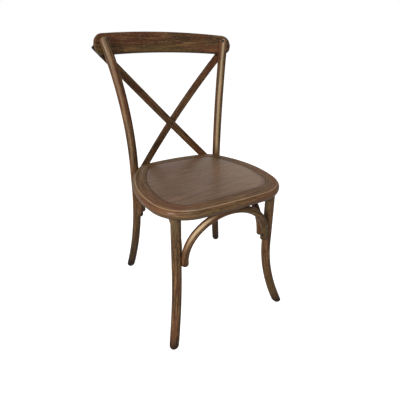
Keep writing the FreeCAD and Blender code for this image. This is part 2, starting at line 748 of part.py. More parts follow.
def slat_line(layer):
    """Returns functions for a slat's depth, height and turn at a distance x along it."""
    half = size("slat_thickness") / 2
    rise = math.tan(math.radians(size("slat_rise_angle")))
    foot_x, head_x = -slat_stations()[1], slat_stations()[3]
    crossing = size("seat_height") + size("crossing_above_seat")

    def height(x):
        return crossing + rise * x

    foot_turn = -edge_turn(foot_x)
    head_turn = math.asin(head_x / size("crest_bend"))
    foot_y = outline_at(foot_x) + (half - size("slat_housing")) / math.cos(foot_turn)
    behind = size("crest_thickness") - size("slat_housing") + half
    head_y = crest_face(head_x, height(head_x)) + behind / math.cos(head_turn)
    straight = foot_y + (head_y - foot_y) * foot_x / (foot_x + head_x)
    cross_y = straight + size("slat_belly") + layer * half

    def depth(x):
        to_foot = foot_y * x * (x - head_x) / (foot_x * (foot_x + head_x))
        to_cross = cross_y * (x + foot_x) * (x - head_x) / (-foot_x * head_x)
        to_head = head_y * x * (x + foot_x) / (head_x * (foot_x + head_x))
        return to_foot + to_cross + to_head

    def turn(x):
        return foot_turn * -x / foot_x if x < 0 else head_turn * x / head_x

    return depth, height, turn


def slat_frame(x, side, layer):
    """Where a slat's section stands at x, with its own X across the slat and Y towards the back."""
    depth, height, turn = slat_line(layer)
    here = spot(side * x, depth(x), height(x))
    further = x + size("slat_thickness")
    ahead = (spot(side * further, depth(further), height(further)) - here).normalize()
    back = Vector(side * math.sin(turn(x)), math.cos(turn(x)), 0)
    back = (back - ahead * back.dot(ahead)).normalize()
    return Placement(here, Rotation(back.cross(ahead), back, ahead, "ZXY"))


def slat_section(name, place):
    """A strip's section: two flats joined by half-round edges."""
    radius = size("slat_thickness") / 2
    reach = size("slat_width") / 2 - radius
    section = doc.addObject("Sketcher::SketchObject", name)
    section.Placement = place
    plus = arc(section, (reach, 0), radius, -math.pi / 2, math.pi / 2)
    over = line(section, (reach, radius), (-reach, radius))
    minus = arc(section, (-reach, 0), radius, math.pi / 2, 3 * math.pi / 2)
    under = line(section, (-reach, -radius), (reach, -radius))
    for first, second in ((plus, over), (over, minus), (minus, under), (under, plus)):
        hold(section, "Tangent", first, 2, second, 1)
    hold(section, "PointOnObject", plus, 3, -1)
    hold(section, "Symmetric", plus, 3, minus, 3, -1, 1)
    hold(section, "Equal", plus, minus)
    hold(section, "Radius", plus, radius, by="sizes.slat_thickness / 2")
    hold(section, "DistanceX", minus, 3, plus, 3, 2 * reach, by="sizes.slat_width - sizes.slat_thickness")
    return section


def make_slat(name, side, layer):
    """One slat, lofted through its stations. Layer -1 lies in front at the crossing, +1 behind."""
    stations = slat_stations()
    spread = [stations[0], stations[1], stations[1] / 2, 0.0, stations[3] / 2, stations[3], stations[4]]
    loft = doc.addObject("Part::Loft", name + "_strip")
    loft.Sections = [slat_section(f"{name}_section_{number}", slat_frame(x, side, layer))
                     for number, x in enumerate(spread, start=1)]
    loft.Solid = True
    return loft


# Fasteners: each is a shank and a head, with a hole of the same line through what it joins


def rod_at(name, start, along, length_by, diameter_by, extra=""):
    rod = doc.addObject("Part::Cylinder", name)
    rod.setExpression("Radius", f"{diameter_by} / 2{extra}")
    rod.setExpression("Height", length_by)
    rod.Placement = Placement(start, Rotation(Vector(0, 0, 1), along))
    return rod


def fastener(name, at, along, length, kind="screw"):
    """A screw or bolt whose head sits at the bottom of a counterbore. Returns it and its hole."""
    along = Vector(*along).normalize()
    bore_name = "counterbore" if kind == "screw" else "bolt_counterbore"
    depth = size(bore_name + "_depth")
    seat = at + along * depth
    shank = rod_at(name + "_shank", seat, along,
                   f"{length} - sizes.{bore_name}_depth", f"sizes.{kind}_diameter")
    head = rod_at(name + "_head", seat - along * size(kind + "_head_height"), along,
                  f"sizes.{kind}_head_height", f"sizes.{kind}_head_diameter")
    whole = doc.addObject("Part::Fuse", name)
    whole.Base, whole.Tool = head, shank
    bore = rod_at(name + "_bore", at - along * depth, along,
                  f"2 * sizes.{bore_name}_depth", f"sizes.{bore_name}_diameter")
    hole = rod_at(name + "_hole", at, along, f"{length} + sizes.fastener_clearance",
                  f"sizes.{kind}_diameter", " + sizes.fastener_clearance")
    drill = doc.addObject("Part::Fuse", name + "_drill")
    drill.Base, drill.Tool = bore, hole
    return whole, drill


def less(name, base, tools):
    """The base with one or more tools cut out of it."""
    tool = tools[0]
    if len(tools) > 1:
        tool = doc.addObject("Part::MultiFuse", name + "_tools")
        tool.Shapes = tools
    result = doc.addObject("Part::Cut", name)
    result.Base, result.Tool = base, tool
    return result


def cut(node, base, pieces, holes):
    """The finished sub-part: its body less its holes and the pieces that are let into it."""
    result = less(node + "_bored" if pieces else node, base, holes)
    if pieces:
        result = less(node, result, pieces)
    result.Label = node
    parts[node] = result


def group(node, pieces):
    result = doc.addObject("Part::Compound", node)
    result.Links = pieces
    result.Label = node
    parts[node] = result
    return result


# Everything put together

left_rear = make_rear_leg("left_rear_leg", 1)
right_rear = make_rear_leg("right_rear_leg", -1)
left_front = make_front_leg("left_front_leg", 1)
right_front = make_front_leg("right_front_leg", -1)
ring = make_seat_ring()
panel = make_seat_panel()
crest = make_crest()
front_slat = make_slat("front_cross_slat", -1, -1)
rear_slat = make_slat("rear_cross_slat", 1, 1)
doc.recompute()

leg_bodies = {
    ("rear", 1): left_rear,
    ("rear", -1): right_rear,
    ("front", 1): left_front,
    ("front", -1): right_front,
}
leg_drills = {key: [] for key in leg_bodies}

# Braces: the lean, the place of the leg screws, and for each tail its leg, angle and side
ARCHES = {
    "front_arch": ("front_arch_lean", "arch_screw_above_end",
                   ("front", -1, "front_arch_turn", 1, -1), ("front", 1, "front_arch_turn", -1, -1)),
    "rear_arch": ("rear_arch_lean", "arch_screw_above_end",
                  ("rear", -1, "rear_arch_turn", 1, 1), ("rear", 1, "rear_arch_turn", -1, 1)),
    "left_arch": ("side_arch_lean", "side_screw_above_end",
                  ("front", 1, "side_arch_front_turn", -1, 1), ("rear", 1, "side_arch_rear_turn", -1, -1)),
    "right_arch": ("side_arch_lean", "side_screw_above_end",
                   ("rear", -1, "side_arch_rear_turn", 1, -1), ("front", -1, "side_arch_front_turn", 1, 1)),
}

leg_screws, seat_screws, seat_drills = [], [], []
for node, (lean_word, screw_word, *ends) in ARCHES.items():
    tails = [tail_beside(leg_at(row, spring_height(), side), size(turn_word), inward, forward)
             for row, side, turn_word, inward, forward in ends]
    body = make_arch(node, *tails, lean_word)
    middle, _, outward, lean = arch_frame(*tails, lean_word)
    above_spring = size(screw_word) - size("arch_tail")
    level = spring_height() + above_spring
    length = size("arch_diameter") + size("arch_screw_bite")
    joined, holes = [ring], []
    for (row, side, *_), tail in zip(ends, tails):
        leg = spot(*leg_at(row, level, side), level)
        centre = spot(*tail, level) + outward * (above_spring * math.tan(lean))
        along = (leg - centre).normalize()
        start = centre - along * (size("arch_diameter") / 2)
        screw, drill = fastener(f"{node}_leg_screw_{len(holes) + 1}", start, along, length)
        leg_screws.append(screw)
        leg_drills[row, side].append(drill)
        joined.append(leg_bodies[row, side])
        holes.append(drill)
    rise = size("arch_rise")
    crown = spot(*middle, spring_height() + rise * math.cos(lean)) + outward * (rise * math.sin(lean))
    start = crown - Vector(0, 0, size("arch_diameter") / 2)
    length = size("arch_diameter") + size("screw_bite")
    screw, drill = fastener(f"{node}_seat_screw", start, (0, 0, 1), length)
    seat_screws.append(screw)
    seat_drills.append(drill)
    cut(node, body, joined, holes + [drill])

# Posts to crest, slats to crest, slats to each other and to the seat, and rear legs to the seat
crest_screws, crest_drills, bolts, head_screws, foot_screws = [], [], [], [], []
slat_drills = {1: [], -1: []}
lean = math.radians(size("crest_lean"))
for side, word in ((1, "left"), (-1, "right")):
    turn = math.radians(size("rear_leg_turn"))
    along = Vector(side * math.sin(turn), math.cos(turn) * math.cos(lean), -math.cos(turn) * math.sin(lean))
    level = crest_level(post_at_crest()[0]) + size("crest_screw_rise")
    start = spot(*rear_leg_at(level, side), level) - along * (size("leg_diameter") / 2)
    length = size("leg_diameter") + size("crest_screw_bite")
    screw, drill = fastener(f"{word}_crest_screw", start, along, length)
    crest_screws.append(screw)
    crest_drills.append(drill)
    leg_drills["rear", side].append(drill)

    away = Vector(side * size("rear_leg_half_spacing"), size("rear_leg_behind_centre"), 0).normalize()
    middle = size("seat_height") - size("seat_thickness") / 2
    start = spot(side * size("rear_leg_half_spacing"), size("rear_leg_behind_centre"), middle)
    screw, drill = fastener(f"{word}_bolt", start + away * (size("leg_diameter") / 2), away * -1,
                            size("leg_diameter") + size("bolt_bite"), "bolt")
    bolts.append(screw)
    leg_drills["rear", side].append(drill)
    seat_drills.append(drill)

    for station, bite_word, found in ((3, "crest_screw_bite", head_screws), (1, "screw_bite", foot_screws)):
        layer = -1 if side < 0 else 1
        place = slat_frame(slat_stations()[station], side, layer)
        back = place.Rotation.multVec(Vector(0, 1, 0))
        start = place.Base + back * (size("slat_thickness") / 2)
        length = size("slat_thickness") + size(bite_word)
        screw, drill = fastener(f"{word}_slat_screw_{station}", start, back * -1, length)
        found.append(screw)
        slat_drills[side].append(drill)
        (crest_drills if station == 3 else seat_drills).append(drill)

place = slat_frame(0.0, -1, -1)
back = place.Rotation.multVec(Vector(0, 1, 0))
start = place.Base - back * (size("slat_thickness") / 2)
crossing, crossing_drill = fastener("crossing", start, back, size("crossing_screw_length"))
slat_drills[1].append(crossing_drill)
slat_drills[-1].append(crossing_drill)

# Glides under the feet, each with a pin in the leg
glides = []
for (row, side), body in leg_bodies.items():
    foot = leg_at(row, size("glide_height"), side)
    disc_part = rod_at(f"{row}_{side}_glide_disc".replace("-", "m"), spot(*foot, 0), Vector(0, 0, 1),
                       "sizes.glide_height", "sizes.glide_diameter")
    rounded = doc.addObject("Part::Fillet", disc_part.Name + "_rounded")
    doc.recompute()
    rounded.Base = disc_part
    low = [number for number, edge in enumerate(disc_part.Shape.Edges, start=1) if flat_edge(0)(edge)]
    rounded.Edges = [(number, size("glide_round"), size("glide_round")) for number in low]
    pin = rod_at(disc_part.Name + "_pin", spot(*foot, 0), Vector(0, 0, 1),
                 "sizes.glide_height + sizes.glide_pin_length", "sizes.glide_pin_diameter")
    whole = doc.addObject("Part::Fuse", disc_part.Name + "_whole")
    whole.Base, whole.Tool = rounded, pin
    glides.append(whole)
    hole = rod_at(disc_part.Name + "_hole", spot(*foot, 0), Vector(0, 0, 1),
                  "sizes.glide_height + sizes.glide_pin_length + sizes.fastener_clearance",
                  "sizes.glide_pin_diameter", " + sizes.fastener_clearance")
    leg_drills[row, side].append(hole)

cut("seat_ring", ring, list(leg_bodies.values()) + [front_slat, rear_slat], seat_drills)
panel.Label = "seat_panel"
parts["seat_panel"] = panel
cut("left_rear_leg", left_rear, [crest], leg_drills["rear", 1])
cut("right_rear_leg", right_rear, [crest], leg_drills["rear", -1])
cut("left_front_leg", left_front, [], leg_drills["front", 1])
cut("right_front_leg", right_front, [], leg_drills["front", -1])
cut("crest_rail", crest, [front_slat, rear_slat], crest_drills)
cut("front_cross_slat", front_slat, [], slat_drills[-1])
cut("rear_cross_slat", rear_slat, [], slat_drills[1])
group("crest_screws", crest_screws)
group("slat_head_screws", head_screws)
group("slat_foot_screws", foot_screws)
group("crossing_screw", [crossing])
group("rear_leg_bolts", bolts)
group("arch_leg_screws", leg_screws)
group("arch_seat_screws", seat_screws)
group("foot_glides", glides)
doc.recompute()

# Tests on every object and sub-part, then the files
for item in doc.Objects:
    assert "Invalid" not in item.State and "Error" not in item.State, f"{item.Name} failed: {item.State}"
os.makedirs("parts", exist_ok=True)
for node, item in parts.items():
    shape = item.Shape
    assert not shape.isNull() and shape.isValid(), f"{node} has no valid shape"
    assert all(solid.isClosed() for solid in shape.Solids), f"{node} is not closed"
    shape.exportStep(f"parts/{node}.step")
    box = shape.optimalBoundingBox()
    print(f"{node}: {len(shape.Solids)} solid(s), {shape.Volume:.0f} mm3, x {box.XMin:.1f}..{box.XMax:.1f} "
          f"y {box.YMin:.1f}..{box.YMax:.1f} z {box.ZMin:.1f}..{box.ZMax:.1f}")
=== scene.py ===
# %% [markdown]
# # A cross back chair of bent wood
# The chair is made of eight round rods, two thin strips and three shaped boards. Every rod was
# straight when it was turned, and was bent in steam afterwards, so its grain follows the bend. The
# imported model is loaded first, because it fixes where each piece stands. All sizes below are in
# millimetres unless a comment says otherwise, and one value turns them to Blender's metres.

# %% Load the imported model
import json
import math

import bmesh
import bpy
import numpy as np
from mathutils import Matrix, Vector


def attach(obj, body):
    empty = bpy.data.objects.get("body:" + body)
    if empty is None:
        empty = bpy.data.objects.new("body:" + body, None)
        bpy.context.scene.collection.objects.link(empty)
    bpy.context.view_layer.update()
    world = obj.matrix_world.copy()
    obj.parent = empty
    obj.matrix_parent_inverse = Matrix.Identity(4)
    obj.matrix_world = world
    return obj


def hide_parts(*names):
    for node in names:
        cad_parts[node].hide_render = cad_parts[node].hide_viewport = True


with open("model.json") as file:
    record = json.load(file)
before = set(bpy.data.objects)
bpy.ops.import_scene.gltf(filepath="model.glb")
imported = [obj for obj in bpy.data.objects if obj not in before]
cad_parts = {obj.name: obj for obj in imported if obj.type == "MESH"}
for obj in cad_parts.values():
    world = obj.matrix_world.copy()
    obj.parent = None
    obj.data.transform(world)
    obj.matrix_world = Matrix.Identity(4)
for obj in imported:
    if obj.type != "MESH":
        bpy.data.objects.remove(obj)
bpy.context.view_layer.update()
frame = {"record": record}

MM = 0.001


def rounded(values, digits=1):
    """Numbers short enough to print."""
    return np.round(np.array(values, float), digits).tolist()


# %% [markdown]
# ## The camera
# The photograph was taken from in front of the chair, at the sitter's right, from a little below
# the crest's height and with a wide lens. Camera place, turn and lens were worked out from the
# edges of the seat, the legs and the back. A small shift puts the chair where it stands in the
# frame, which turning would not do without changing the perspective.

# %% Camera
CAMERA_PLACE = (-444.5, -834.1, 841.9)
CAMERA_TURN = (66.0, 0.0, -27.38)
FOCAL_PIXELS, PICTURE_WIDTH = 296.42, 400
SENSOR_WIDTH = 36.0
FRAME_SHIFT = (0.0183, -0.0456)
NEAREST_SEEN = 10.0

camera_data = bpy.data.cameras.new("photo_camera")
camera_data.sensor_width = SENSOR_WIDTH
camera_data.lens = FOCAL_PIXELS / PICTURE_WIDTH * SENSOR_WIDTH
camera_data.shift_x, camera_data.shift_y = FRAME_SHIFT
camera_data.clip_start = NEAREST_SEEN * MM
camera = bpy.data.objects.new("photo_camera", camera_data)
camera.location = [value * MM for value in CAMERA_PLACE]
camera.rotation_euler = [math.radians(value) for value in CAMERA_TURN]
bpy.context.scene.collection.objects.link(camera)
bpy.context.scene.camera = camera
print("lens:", round(camera_data.lens, 2), "mm")

# %% [markdown]
# ## From arrays to meshes
# A surface is a grid of points: rows along the piece and columns round it. The whole grid is
# worked out as one numpy array, and the faces follow from the grid's shape alone. Each point also
# keeps where it was in the straight timber, in an attribute named timber, with its first number
# along the grain. The wood's pattern is drawn in that space, so it bends with the rod. A second
# attribute, tone, says where a surface is rubbed light or has a painted highlight (above zero),
# and where it has gone dark or has painted shade (below it).

# %% Small formulas
def unit(vectors):
    """The same directions, with length one."""
    return vectors / np.linalg.norm(vectors, axis=-1, keepdims=True)


def full_turn(count):
    """Angles shared out evenly round a circle."""
    return np.arange(count) * 2 * math.pi / count


def distances(line):
    """Distance from the first point of a line to each of its points."""
    return np.concatenate([[0.0], np.cumsum(np.linalg.norm(np.diff(line, axis=0), axis=1))])


def bell(distance, width):
    """A spot that fades out: exp(-(distance / width)^2)."""
    return np.exp(-(distance / width) ** 2)


def ramp(value, start, end):
    """Nothing up to the start, one from the end, and a straight rise between them."""
    return np.clip((value - start) / (end - start), 0, 1)


print("a bell at its own width:", round(float(bell(1.0, 1.0)), 3))

# %% Grid helper
SEED = 11
# Each piece is cut from its own place in the timber, up to this many metres off, so that no two
# have the same grain.
TIMBER_SPREAD = 3.0
MERGE_DISTANCE = 0.02
rng = np.random.default_rng(SEED)


def grid_faces(rows, columns, wrap_rows=False):
    """Corner numbers of each quad: a point, its next column, that one's next row, its next row."""
    row = np.arange(rows if wrap_rows else rows - 1)
    r, c = np.meshgrid(row, np.arange(columns), indexing="ij")
    r2, c2 = (r + 1) % rows, (c + 1) % columns
    quads = np.stack([r * columns + c, r * columns + c2, r2 * columns + c2, r2 * columns + c], -1)
    return quads.reshape(-1, 4)


def new_piece(name, points, faces):
    """A mesh object from points in millimetres and the corner numbers of its faces."""
    mesh = bpy.data.meshes.new(name)
    mesh.from_pydata((points.reshape(-1, 3) * MM).tolist(), [], faces)
    piece = bpy.data.objects.new(name, mesh)
    bpy.context.scene.collection.objects.link(piece)
    return piece


def close_up(mesh):
    """Merges points that lie on each other and turns every face outwards."""
    work = bmesh.new()
    work.from_mesh(mesh)
    bmesh.ops.remove_doubles(work, verts=work.verts, dist=MERGE_DISTANCE * MM)
    bmesh.ops.recalc_face_normals(work, faces=work.faces)
    work.to_mesh(mesh)
    work.free()


def surface(name, points, timber, tone, wrap_rows=False):
    """A wooden piece from a grid of points, with each point's place in the timber and its tone."""
    rows, columns = points.shape[:2]
    piece = new_piece(name, points, grid_faces(rows, columns, wrap_rows).tolist())
    cut_from = rng.uniform(-TIMBER_SPREAD, TIMBER_SPREAD, 3)
    place = piece.data.attributes.new("timber", "FLOAT_VECTOR", "POINT")
    place.data.foreach_set("vector", (timber.reshape(-1, 3) * MM + cut_from).ravel())
    shade = piece.data.attributes.new("tone", "FLOAT", "POINT")
    shade.data.foreach_set("value", np.broadcast_to(tone, (rows, columns)).ravel())
    close_up(piece.data)
    piece.data.shade_smooth()
    return piece


print("faces of a grid of 3 rows and 4 columns:", len(grid_faces(3, 4)))

# %% [markdown]
# ## Round rods
# A rod is a circle carried along a line. The bends all lie in one plane, so the circle's own axes
# are the plane's normal and the line's normal in the plane. The ends are rounded by a list of
# steps: as the distance runs over the last millimetres, the radius shrinks along a quarter circle.
# A curve with a round bevel would do for a plain rod, but not for such ends, feet, wear and painted light.
# A foot stands flat on its glide, so its last circles are slid along the rod until they are level,
# and made a little smaller, because the slide stretches a slanting circle outwards. Two functions
# may colour a rod: one of the distance along it, and one of the direction that its side faces,
# which paints a highlight.

# %% Rod helper
# A foot's circles are level at the floor and square to the rod from this many radii up. The change
# follows a power of the distance, and a level circle is made smaller by a small share.
FOOT_REACH, FOOT_EASE, FOOT_TAPER = 2.5, 1.5, 0.04


def end_steps(length, radius, start_round, end_round, spacing=4.0, turns=7):
    """Distances and radii along a rod: a quarter circle, the plain length, a quarter circle."""
    quarter = np.linspace(0, math.pi / 2, turns)
    plain = np.linspace(start_round, length - end_round, max(2, int(length / spacing)))
    first = start_round * (1 - np.cos(quarter)), radius - start_round * (1 - np.sin(quarter))
    last = length - end_round * (1 - np.sin(quarter)), radius - end_round * (1 - np.cos(quarter))
    reach = np.concatenate([[0.0], first[0], plain[1:-1], last[0], [length]])
    size = np.concatenate([[0.0], first[1], np.full(len(plain) - 2, radius), last[1], [0.0]])
    return reach, size


def foot_share(reach, radius):
    """One at the floor, falling to none: (1 - reach / (FOOT_REACH * radius))^FOOT_EASE."""
    return np.clip(1 - reach / (FOOT_REACH * radius), 0, 1) ** FOOT_EASE


def rod(name, line, normal, radius, rounds, tone_at, painted_highlight=None, level_foot=False, columns=48):
    """A tube: point = line + radius * (cos turn * normal + sin turn * side), with shrinking ends."""
    run = distances(line)
    reach, size = end_steps(run[-1], radius, *rounds)
    centre = np.stack([np.interp(reach, run, line[:, axis]) for axis in range(3)], -1)
    slope = np.stack([np.interp(reach, run, np.gradient(line[:, axis], run)) for axis in range(3)], -1)
    tangent = unit(slope)
    side = unit(np.cross(tangent, normal))
    turn = full_turn(columns)
    ring = np.cos(turn)[None, :, None] * normal + np.sin(turn)[None, :, None] * side[:, None]
    level = foot_share(reach, radius) if level_foot else np.zeros(len(reach))
    offset = ring * (size * (1 - FOOT_TAPER * level))[:, None, None]
    points = centre[:, None] + offset
    if level_foot:
        slide = -offset[..., 2] / tangent[:, None, 2] * level[:, None]
        points = points + slide[..., None] * tangent[:, None]
    timber = np.stack([np.broadcast_to(reach[:, None], offset.shape[:2]),
                       size[:, None] * np.cos(turn), size[:, None] * np.sin(turn)], -1)
    tone = tone_at(reach, run[-1])[:, None]
    # The second function adds a painted highlight on the side that it picks.
    if painted_highlight is not None:
        tone = tone + painted_highlight(centre, ring)
    return surface(name, points, timber, tone)


print("steps along a rod of 100 mm:", len(end_steps(100.0, 15.0, 4.0, 4.0)[0]))

# %% [markdown]
# ## The legs
# A rear leg is one long rod: it leaves the seat upright, bows outwards below it, and bows outwards
# and backwards above it up to the crest. A front leg comes down almost straight and then curves
# away quickly, like a sabre. A free curve could follow that too, but a bending form is an arc. So
# both bends are plain arcs, and the distance outwards at a height is a circle's sagitta.

# %% Leg lines
LEG_RADIUS = 15.1
GLIDE_HEIGHT = 5.0
SEAT_TOP = 457.0
SEAT_THICKNESS = 32.0
SEAT_UNDER = SEAT_TOP - SEAT_THICKNESS
# The middle of the footprint, which is the model's origin, lies this far behind the seat's middle.
SHIFT_BACK = 29.1
# Rear leg: its middle at the seat and the direction it bows in, its two bends, where the lower one
# starts and where the post ends.
REAR_X, REAR_Y, REAR_TURN = 172.8, 178.2, math.radians(43.3)
REAR_BEND, POST_BEND = 1250.0, 1274.0
REAR_LOW, POST_TOP = SEAT_UNDER - 47.5, SEAT_TOP + 420.2
# Front leg: the same, with how far its straight part has drifted outwards where the bend starts.
FRONT_X, FRONT_Y, FRONT_TURN, FRONT_BEND = 165.6, 165.6, math.radians(37.0), 510.7
FRONT_TOP, FRONT_BEND_HEIGHT, FRONT_DRIFT = SEAT_UNDER + 2, 234.5, 4.7


def bow(radius, rise):
    """How far an arc that starts straight has moved sideways: radius - sqrt(radius^2 - rise^2)."""
    return radius - np.sqrt(radius**2 - rise**2)


def rear_out(z):
    """Outward bow of a rear leg at a height: one arc below the seat, one above, none between."""
    below, above = np.clip(REAR_LOW - z, 0, None), np.clip(z - SEAT_TOP, 0, None)
    return bow(REAR_BEND, below) + bow(POST_BEND, above)


def front_out(z):
    """Outward distance of a front leg: a slight straight lean, then an arc that starts with it."""
    lean = math.atan2(FRONT_DRIFT, FRONT_TOP - FRONT_BEND_HEIGHT)
    drop = np.clip(FRONT_BEND_HEIGHT + FRONT_BEND * math.sin(lean) - z, 0, FRONT_BEND)
    curved = FRONT_DRIFT + FRONT_BEND * math.cos(lean) - np.sqrt(FRONT_BEND**2 - drop**2)
    straight = FRONT_DRIFT * (FRONT_TOP - z) / (FRONT_TOP - FRONT_BEND_HEIGHT)
    return np.where(z >= FRONT_BEND_HEIGHT, straight, curved)


def rear_at(z, side):
    """Middle of a rear leg at a height; side is 1 at the sitter's left and -1 at the right."""
    out = rear_out(np.asarray(z, float))
    x = REAR_X + out * math.sin(REAR_TURN)
    y = REAR_Y + out * math.cos(REAR_TURN)
    return np.stack([side * x, y - SHIFT_BACK, np.broadcast_to(z, x.shape)], -1)


def front_at(z, side):
    """Middle of a front leg at a height, which bows forwards where a rear leg bows backwards."""
    out = front_out(np.asarray(z, float))
    x = FRONT_X + out * math.sin(FRONT_TURN)
    y = -FRONT_Y - out * math.cos(FRONT_TURN)
    return np.stack([side * x, y - SHIFT_BACK, np.broadcast_to(z, x.shape)], -1)


print("feet:", rounded([front_at(0.0, 1), rear_at(0.0, 1)]))

# %% Painted highlight, painted shade and dark feet on the legs
# The direction that the painted highlight on a post faces, its width, and its strength on each post.
POST_FACING, POST_STRIP = np.array([-0.5, -0.86, 0.1]), 0.06
LEFT_POST_HIGHLIGHT, RIGHT_POST_HIGHLIGHT = 0.5, 0.14
HIGHLIGHT_START, HIGHLIGHT_FULL = SEAT_TOP - 10, SEAT_TOP + 40
# Dark feet, and painted shade low on a rear leg: how far each reaches, and the shade's strength.
DARK_FOOT, REAR_SHADE_REACH, REAR_PAINTED_SHADE = 24.0, 150.0, 0.75
LIGHT_TOP, TOP_LIGHTNESS = 60.0, 0.05


def painted_post_highlight(centre, ring):
    """A painted highlight along the front of a post, from the seat to the top."""
    # Painted highlight: a lighter strip where the post faces the front.
    strip = bell(1 - ring @ POST_FACING, POST_STRIP) * ramp(centre[:, 2:], HIGHLIGHT_START, HIGHLIGHT_FULL)
    return np.where(centre[:, :1] > 0, LEFT_POST_HIGHLIGHT, RIGHT_POST_HIGHLIGHT) * strip


def foot_tone(reach, length):
    """Dark for the first centimetres over the floor, and a little lighter near the upper end."""
    return TOP_LIGHTNESS * bell(length - reach, LIGHT_TOP) - bell(reach, DARK_FOOT)


def rear_foot_shaded_tone(reach, length):
    """A rear leg also has painted shade, which reaches further up from the floor."""
    return foot_tone(reach, length) - REAR_PAINTED_SHADE * bell(reach, REAR_SHADE_REACH)


print("tone of a rear leg 100 mm up:", round(float(rear_foot_shaded_tone(100.0, 880.0)), 2))

# %% Make the legs
SIDES = {"left": 1, "right": -1}
REAR_POINTS, FRONT_POINTS = 221, 141
FOOT_ROUND, POST_ROUND, TENON_ROUND = 4.0, 11.0, 1.0

pieces = {}
for word, side in SIDES.items():
    line = rear_at(np.linspace(GLIDE_HEIGHT, POST_TOP, REAR_POINTS), side)
    across = np.array([math.cos(REAR_TURN), -side * math.sin(REAR_TURN), 0.0])
    pieces[f"{word}_rear_leg"] = rod(f"{word}_rear_leg_rod", line, across, LEG_RADIUS,
                                     (FOOT_ROUND, POST_ROUND), rear_foot_shaded_tone, painted_post_highlight, level_foot=True)
    line = front_at(np.linspace(GLIDE_HEIGHT, FRONT_TOP, FRONT_POINTS), side)
    across = np.array([math.cos(FRONT_TURN), side * math.sin(FRONT_TURN), 0.0])
    pieces[f"{word}_front_leg"] = rod(f"{word}_front_leg_rod", line, across, LEG_RADIUS,
                                      (FOOT_ROUND, TENON_ROUND), foot_tone, level_foot=True)
print("legs:", list(pieces))

# %% [markdown]
# ## The hoop braces
# Four thinner rods stiffen the legs. Each is bent to a hoop of three arcs, a flat one at the crown
# and a rounder one at each shoulder, with short straight tails. The crown is screwed up into the
# seat and the tails lie beside the legs, a little let into them. A tail stands at an angle round
# its leg, so that two hoops find room there. A hoop leans a little, because the legs are wider
# apart below than the seat's edge is above. The hoop is drawn flat, by its span and height, and
# then set in its leaning plane, because arcs that meet smoothly are hard to place in space.

# %% Hoop lines
ARCH_RADIUS, ARCH_COPE, ARCH_FLAT, ARCH_TAIL = 11.5, 2.0, 1.5, 20.0
ARCH_RISE, SHOULDER = 130.0, 120.0
CROWN = SEAT_UNDER + ARCH_FLAT - ARCH_RADIUS
SPRING = CROWN - ARCH_RISE
SHOULDER_POINTS, CROWN_POINTS = 50, 30
# A hoop's lean in degrees and its two ends. An end is its leg's line and side, the angle round the
# leg from the x axis, and the signs of x and y on which the tail lies.
ARCHES = {
    "front_arch": (3.0, (front_at, -1, 26, 1, -1), (front_at, 1, 26, -1, -1)),
    "rear_arch": (0.0, (rear_at, -1, 15.5, 1, 1), (rear_at, 1, 15.5, -1, 1)),
    "left_arch": (-5.3, (front_at, 1, 54, -1, 1), (rear_at, 1, 78.5, -1, -1)),
    "right_arch": (-5.3, (rear_at, -1, 78.5, 1, -1), (front_at, -1, 54, 1, 1)),
}


def tail_beside(leg, turn, x_sign, y_sign):
    """A tail's middle: the leg's middle plus both radii less the cope, at an angle round the leg."""
    reach = LEG_RADIUS + ARCH_RADIUS - ARCH_COPE
    turn = math.radians(turn)
    return leg[:2] + reach * np.array([x_sign * math.cos(turn), y_sign * math.sin(turn)])


def hoop_place(first, second, lean, flat, height):
    """A place in the hoop's leaning plane, from its distance along the span and its height."""
    across = (second - first) / np.linalg.norm(second - first)
    outward = np.array([across[1], -across[0]])
    plan = (first + second) / 2 + flat[:, None] * across + (height * math.sin(lean))[:, None] * outward
    normal = np.append(outward * math.cos(lean), -math.sin(lean))
    return np.column_stack([plan, SPRING + height * math.cos(lean)]), normal


def hoop_line(span):
    """Distances and heights up a tail, round a shoulder, the crown and a shoulder, down a tail."""
    beside = span - SHOULDER
    crown = (beside**2 + ARCH_RISE**2 - SHOULDER**2) / (2 * (ARCH_RISE - SHOULDER))
    swing = math.asin(beside / (crown - SHOULDER))
    low = np.linspace(math.pi, math.pi / 2 + swing, SHOULDER_POINTS)
    top = np.linspace(math.pi / 2 + swing, math.pi / 2 - swing, CROWN_POINTS)[1:-1]
    shoulder = np.stack([SHOULDER * np.cos(low) - beside, SHOULDER * np.sin(low)], -1)
    middle = np.stack([crown * np.cos(top), ARCH_RISE - crown + crown * np.sin(top)], -1)
    half = np.concatenate([[[-span, -ARCH_TAIL]], shoulder])
    return np.concatenate([half, middle, half[::-1] * [-1, 1]])


print("springing of the hoops:", SPRING, "crown:", CROWN)

# %% Make the braces
ARCH_ROUNDS, ARCH_COLUMNS = (5.0, 5.0), 40
DARK_END, END_DARKNESS = 9.0, 0.6
# The painted highlight on the front hoop: the direction it faces and its width, its middle and reach.
SHOULDER_FACING, SHOULDER_STRIP = np.array([-0.55, -0.62, 0.56]), 0.09
SHOULDER_X, SHOULDER_REACH, SHOULDER_HIGHLIGHT = -95.0, 45.0, 0.8


def painted_shoulder_highlight(centre, ring):
    """A painted highlight on the outside of the front brace's shoulder at the sitter's right."""
    # Painted highlight where the shoulder faces up and to the front.
    near = bell(centre[:, :1] - SHOULDER_X, SHOULDER_REACH)
    return SHOULDER_HIGHLIGHT * bell(1 - ring @ SHOULDER_FACING, SHOULDER_STRIP) * near


def dark_ends(reach, length):
    """The stain soaks deeper into the end grain of both tails."""
    return -END_DARKNESS * bell(np.minimum(reach, length - reach), DARK_END)


